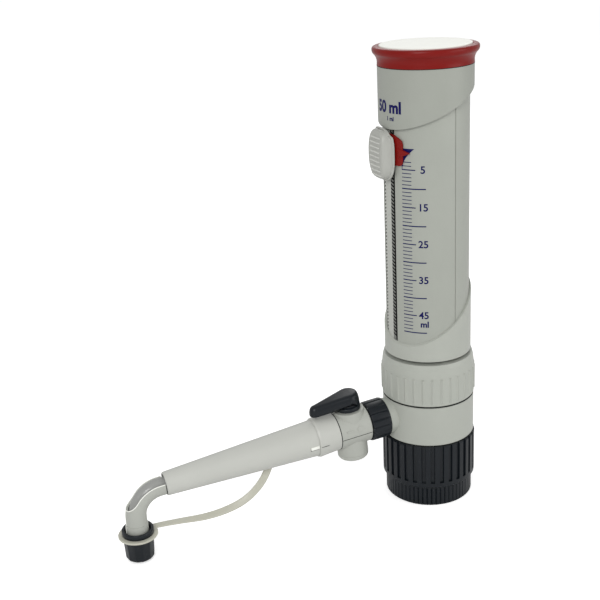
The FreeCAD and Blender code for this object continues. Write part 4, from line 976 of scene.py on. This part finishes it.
def window_half(place):
    """Half angle of the opening: constant, then closing to nothing in a round end."""
    if place < WINDOW_END - WINDOW_CLOSING:
        return WINDOW_HALF
    if place >= WINDOW_END:
        return 0.0
    share = (place - WINDOW_END + WINDOW_CLOSING) / WINDOW_CLOSING
    return WINDOW_HALF * math.sqrt(max(0.0, 1 - share ** 2.4))


spout_rings = []
places = [-3.0, -1.5] + [step * 1.5 for step in range(57)]
places += [BEND_TURN + drop for drop in (0, 2, 3.5, 4.4, 4.5, 6, 8, 10, 12)]
straight = bend_middle.z - TIP_Z
places = [place for place in places if place <= BEND_TURN + straight - 0.4] + [BEND_TURN + straight]
for place in places:
    centre, outward = spout_frame(place)
    half = window_half(place)
    low_part = place > BEND_TURN + straight - STEP_UP
    radius = SPOUT_R + (STEP_OUT if low_part else 0.0)
    ring = []
    for step in range(WALL_STEPS + 1):
        turn = half + (2 * math.pi - 2 * half) * step / WALL_STEPS
        way = outward * math.cos(turn) - Vector((0, math.sin(turn), 0))
        ring.append((centre + way * radius) * MM)
    spout_rings.append(ring)
sheet = skinned("spout_sheet", spout_rings, valve_plastic, round_way=False, ends=False)
wall = sheet.modifiers.new("wall", "SOLIDIFY")
wall.thickness = SPOUT_WALL * MM
wall.offset = -1.0
wall.use_even_offset = True
spout = linked("open_spout", shaded(plain_mesh(sheet), valve_plastic))
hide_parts("spout")
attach(spout, "valve_head")

# A thin white bead along the edge of the opening, a painted highlight on the rim.
edge_path = [ring[0] for ring in spout_rings if ring[0] != ring[-1]]
edge_path += [ring[-1] for ring in reversed(spout_rings) if ring[0] != ring[-1]]
rim_highlight_line = route_curve("window_rim_line", "POLY", edge_path)
rim_highlight_line.bevel_depth = RIM_HIGHLIGHT_R * MM
rim_highlight_line.bevel_resolution = 2
rim = linked("window_rim", shaded(plain_mesh(linked("window_rim_line", rim_highlight_line)), disc_plastic))
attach(rim, "valve_head")
told(spout, rim)

# %% [markdown]
# ## Outlet cap
# The cap is a small black cup. Its body narrows towards the foot in twelve faint flats, a groove holds
# the tether's ring, and the mouth opens in a funnel round the outlet.

# %% Outlet cap
CAP_STEPS, CAP_FLATS = 144, 12
cap_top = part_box("nozzle_cap")[1].z / MM
groove_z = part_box("cap_strap")[0].z / MM
cap_profile = [(0.05, 1.3, 0.0), (6.6, 1.3, 0.0), (7.7, 1.6, 0.1), (8.2, 2.3, 0.25), (8.35, 3.4, 0.3),
               (8.85, groove_z - 0.6, 0.25), (8.8, groove_z - 0.1, 0.0), (8.45, groove_z - 0.1, 0.0),
               (8.45, groove_z + 1.3, 0.0), (9.0, groove_z + 1.3, 0.0), (9.15, groove_z + 1.6, 0.0),
               (9.15, cap_top - 0.4, 0.0), (8.9, cap_top, 0.0), (7.9, cap_top, 0.0),
               (7.5, cap_top - 0.3, 0.0), (6.75, cap_top - 2.6, 0.0), (6.7, 12.2, 0.0), (0.05, 12.2, 0.0)]
tip_spot = Vector((-TIP_X, 0, 0)) * MM
cap_dips = [1 - (2 * (step * CAP_FLATS / CAP_STEPS % 1) - 1) ** 2 for step in range(CAP_STEPS)]
cap_rings = fluted(cap_profile, cap_dips, lambda height, x, y: tip_spot + Vector((x, y, height)) * MM)
cap = skinned("outlet_cap", cap_rings, black_plastic)
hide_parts("nozzle_cap")
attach(cap, "nozzle_cap")
told(cap)

# %% [markdown]
# ## Tether of the cap
# The tether is a flat moulded band with a ring round the cap's groove. It leaves the ring level, sags
# a little and rises to the underside of the nozzle, turning over slowly on its way. Its line is a
# NURBS curve through a few points, and a rounded oblong is carried along it.

# %% Tether
TETHER_ROUTE = [
    (-176.9, 4.0, 15.75), (-168.5, 3.2, 15.9), (-158.0, 2.2, 15.7), (-147.0, 1.2, 15.0), (-135.0, 0.5, 16.2),
    (-123.0, 0.0, 19.4), (-114.0, 0.0, 25.6), (-108.3, 0.0, 32.6), (-105.6, 0.0, 39.3)]
BAND_HALF, BAND_THICK_HALF, TETHER_ROLL = 2.2, 0.6, 76.0
line = route_curve("tether_line", "NURBS", [Vector(spot) * MM for spot in TETHER_ROUTE])
line.splines[0].order_u = 4
line.splines[0].use_endpoint_u = True
line.resolution_u = 10
line_mesh = plain_mesh(linked("tether_line", line))
run = [vertex.co.copy() for vertex in line_mesh.vertices]
bpy.data.meshes.remove(line_mesh)
band_rings = []
for index, here in enumerate(run):
    way = (run[min(index + 1, len(run) - 1)] - run[max(index - 1, 0)]).normalized()
    share = index / (len(run) - 1)
    roll = math.radians(TETHER_ROLL) * share
    across = Matrix.Rotation(roll, 3, way) @ Vector((0, 1, 0))
    over = way.cross(across)
    band_rings.append([here + (across * y + over * z) * MM
                       for y, z in oblong(BAND_HALF, BAND_THICK_HALF, 4.0, 24)])
band = skinned("tether_band", band_rings, tether_plastic)
TETHER_RING = [(8.55, 0.0), (11.1, 0.0), (11.35, 0.25), (11.35, 0.95), (11.1, 1.2), (8.55, 1.2)]
ring_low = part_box("cap_strap")[0].z / MM
tether_ring = turned("tether_ring", TETHER_RING, tether_plastic, Vector((-TIP_X, 0, ring_low)) * MM)
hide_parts("cap_strap")
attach(tether_ring, "nozzle_cap")
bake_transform(band)
told(band, tether_ring)

# %% [markdown]
# ## Floor, light and camera
# The dispenser stands on a white sweep under soft light. The floor and the world are seen as white
# by the camera, the world through clear surfaces too, and they give the object only as much light as
# keeps its colours at about the values written. No surface here is a mirror or a bare metal.

# %% Floor
def stage_white(name, shade, glow_strength):
    """A pale surface that the camera sees as almost pure white and that keeps soft shadows."""
    material, tree = fresh_material(name)
    seen = add(tree, "ShaderNodeLightPath")
    matte = add(tree, "ShaderNodeBsdfDiffuse", {"Color": (shade, shade, shade, 1.0)})
    glow = add(tree, "ShaderNodeEmission", {"Color": (1.0, 1.0, 1.0, 1.0), "Strength": glow_strength})
    both = add(tree, "ShaderNodeAddShader", {0: matte.outputs["BSDF"], 1: glow.outputs["Emission"]})
    choice = add(tree, "ShaderNodeMixShader", {0: seen.outputs["Is Camera Ray"], 1: matte.outputs["BSDF"],
                                               2: both.outputs["Shader"]})
    add(tree, "ShaderNodeOutputMaterial", {"Surface": choice.outputs["Shader"]})
    return material


bpy.ops.mesh.primitive_plane_add(size=12.0, location=(0, 0, 0))
floor = bpy.context.object
floor.name = "floor"
floor.data.materials.append(stage_white("paper_sweep", 0.86, 0.5))

world = bpy.data.worlds.new("studio")
bpy.context.scene.world = world
world.use_nodes = True
sky = world.node_tree
sky.nodes.clear()
path = add(sky, "ShaderNodeLightPath")
seen_white = reckon(sky, "MAXIMUM", path.outputs["Is Camera Ray"], path.outputs["Is Transmission Ray"])
light = add(sky, "ShaderNodeBackground", {"Color": (1.0, 1.0, 1.0, 1.0),
                                          "Strength": spread(sky, seen_white, 0.60, 1.0)})
add(sky, "ShaderNodeOutputWorld", {"Surface": light.outputs["Background"]})


def lamp(name, spot, target, size, watts):
    """A square soft light that faces a point."""
    data = bpy.data.lights.new(name, "AREA")
    data.size = size
    data.energy = watts
    item = bpy.data.objects.new(name, data)
    bpy.context.scene.collection.objects.link(item)
    item.location = spot
    item.rotation_euler = (Vector(target) - Vector(spot)).to_track_quat("-Z", "Y").to_euler()


MIDDLE = (-0.04, 0.0, 0.13)
lamp("key_light", (-0.7, -0.8, 0.75), MIDDLE, 0.4, 6.0)
lamp("fill_light", (0.9, -0.9, 0.5), MIDDLE, 0.9, 4.6)
lamp("rim_light", (0.5, 0.9, 0.9), MIDDLE, 0.7, 3.0)

# %% [markdown]
# ## Camera
# The camera's place, turn and focal length were fitted to the rings of the column in the photograph. Its
# three directions are worked out from heading, pitch and roll, and set as the rows of a matrix.

# %% Camera
CAMERA_SPOT = Vector((-0.2746, -0.5165, 0.341))
CAMERA_HEADING = math.radians(20.58)
CAMERA_PITCH = math.radians(-20.12)
CAMERA_ROLL = math.radians(-2.98)
FOCAL_PIXELS = 1042.0
FRAME_PIXELS = 600.0
ahead = Vector((math.sin(CAMERA_HEADING) * math.cos(CAMERA_PITCH),
                math.cos(CAMERA_HEADING) * math.cos(CAMERA_PITCH), math.sin(CAMERA_PITCH)))
side = Vector((math.cos(CAMERA_HEADING), -math.sin(CAMERA_HEADING), 0))
above = side.cross(ahead)
right = math.cos(CAMERA_ROLL) * side + math.sin(CAMERA_ROLL) * above
upward = math.cos(CAMERA_ROLL) * above - math.sin(CAMERA_ROLL) * side
camera_data = bpy.data.cameras.new("camera")
camera_data.sensor_width = 36.0
camera_data.lens = FOCAL_PIXELS / FRAME_PIXELS * camera_data.sensor_width
camera_data.clip_start = 0.01
camera = bpy.data.objects.new("camera", camera_data)
bpy.context.scene.collection.objects.link(camera)
turned_frame = Matrix((right, upward, -ahead)).transposed().to_4x4()
camera.matrix_world = Matrix.Translation(CAMERA_SPOT) @ turned_frame
bpy.context.scene.camera = camera
bpy.context.scene.view_settings.view_transform = "Standard"
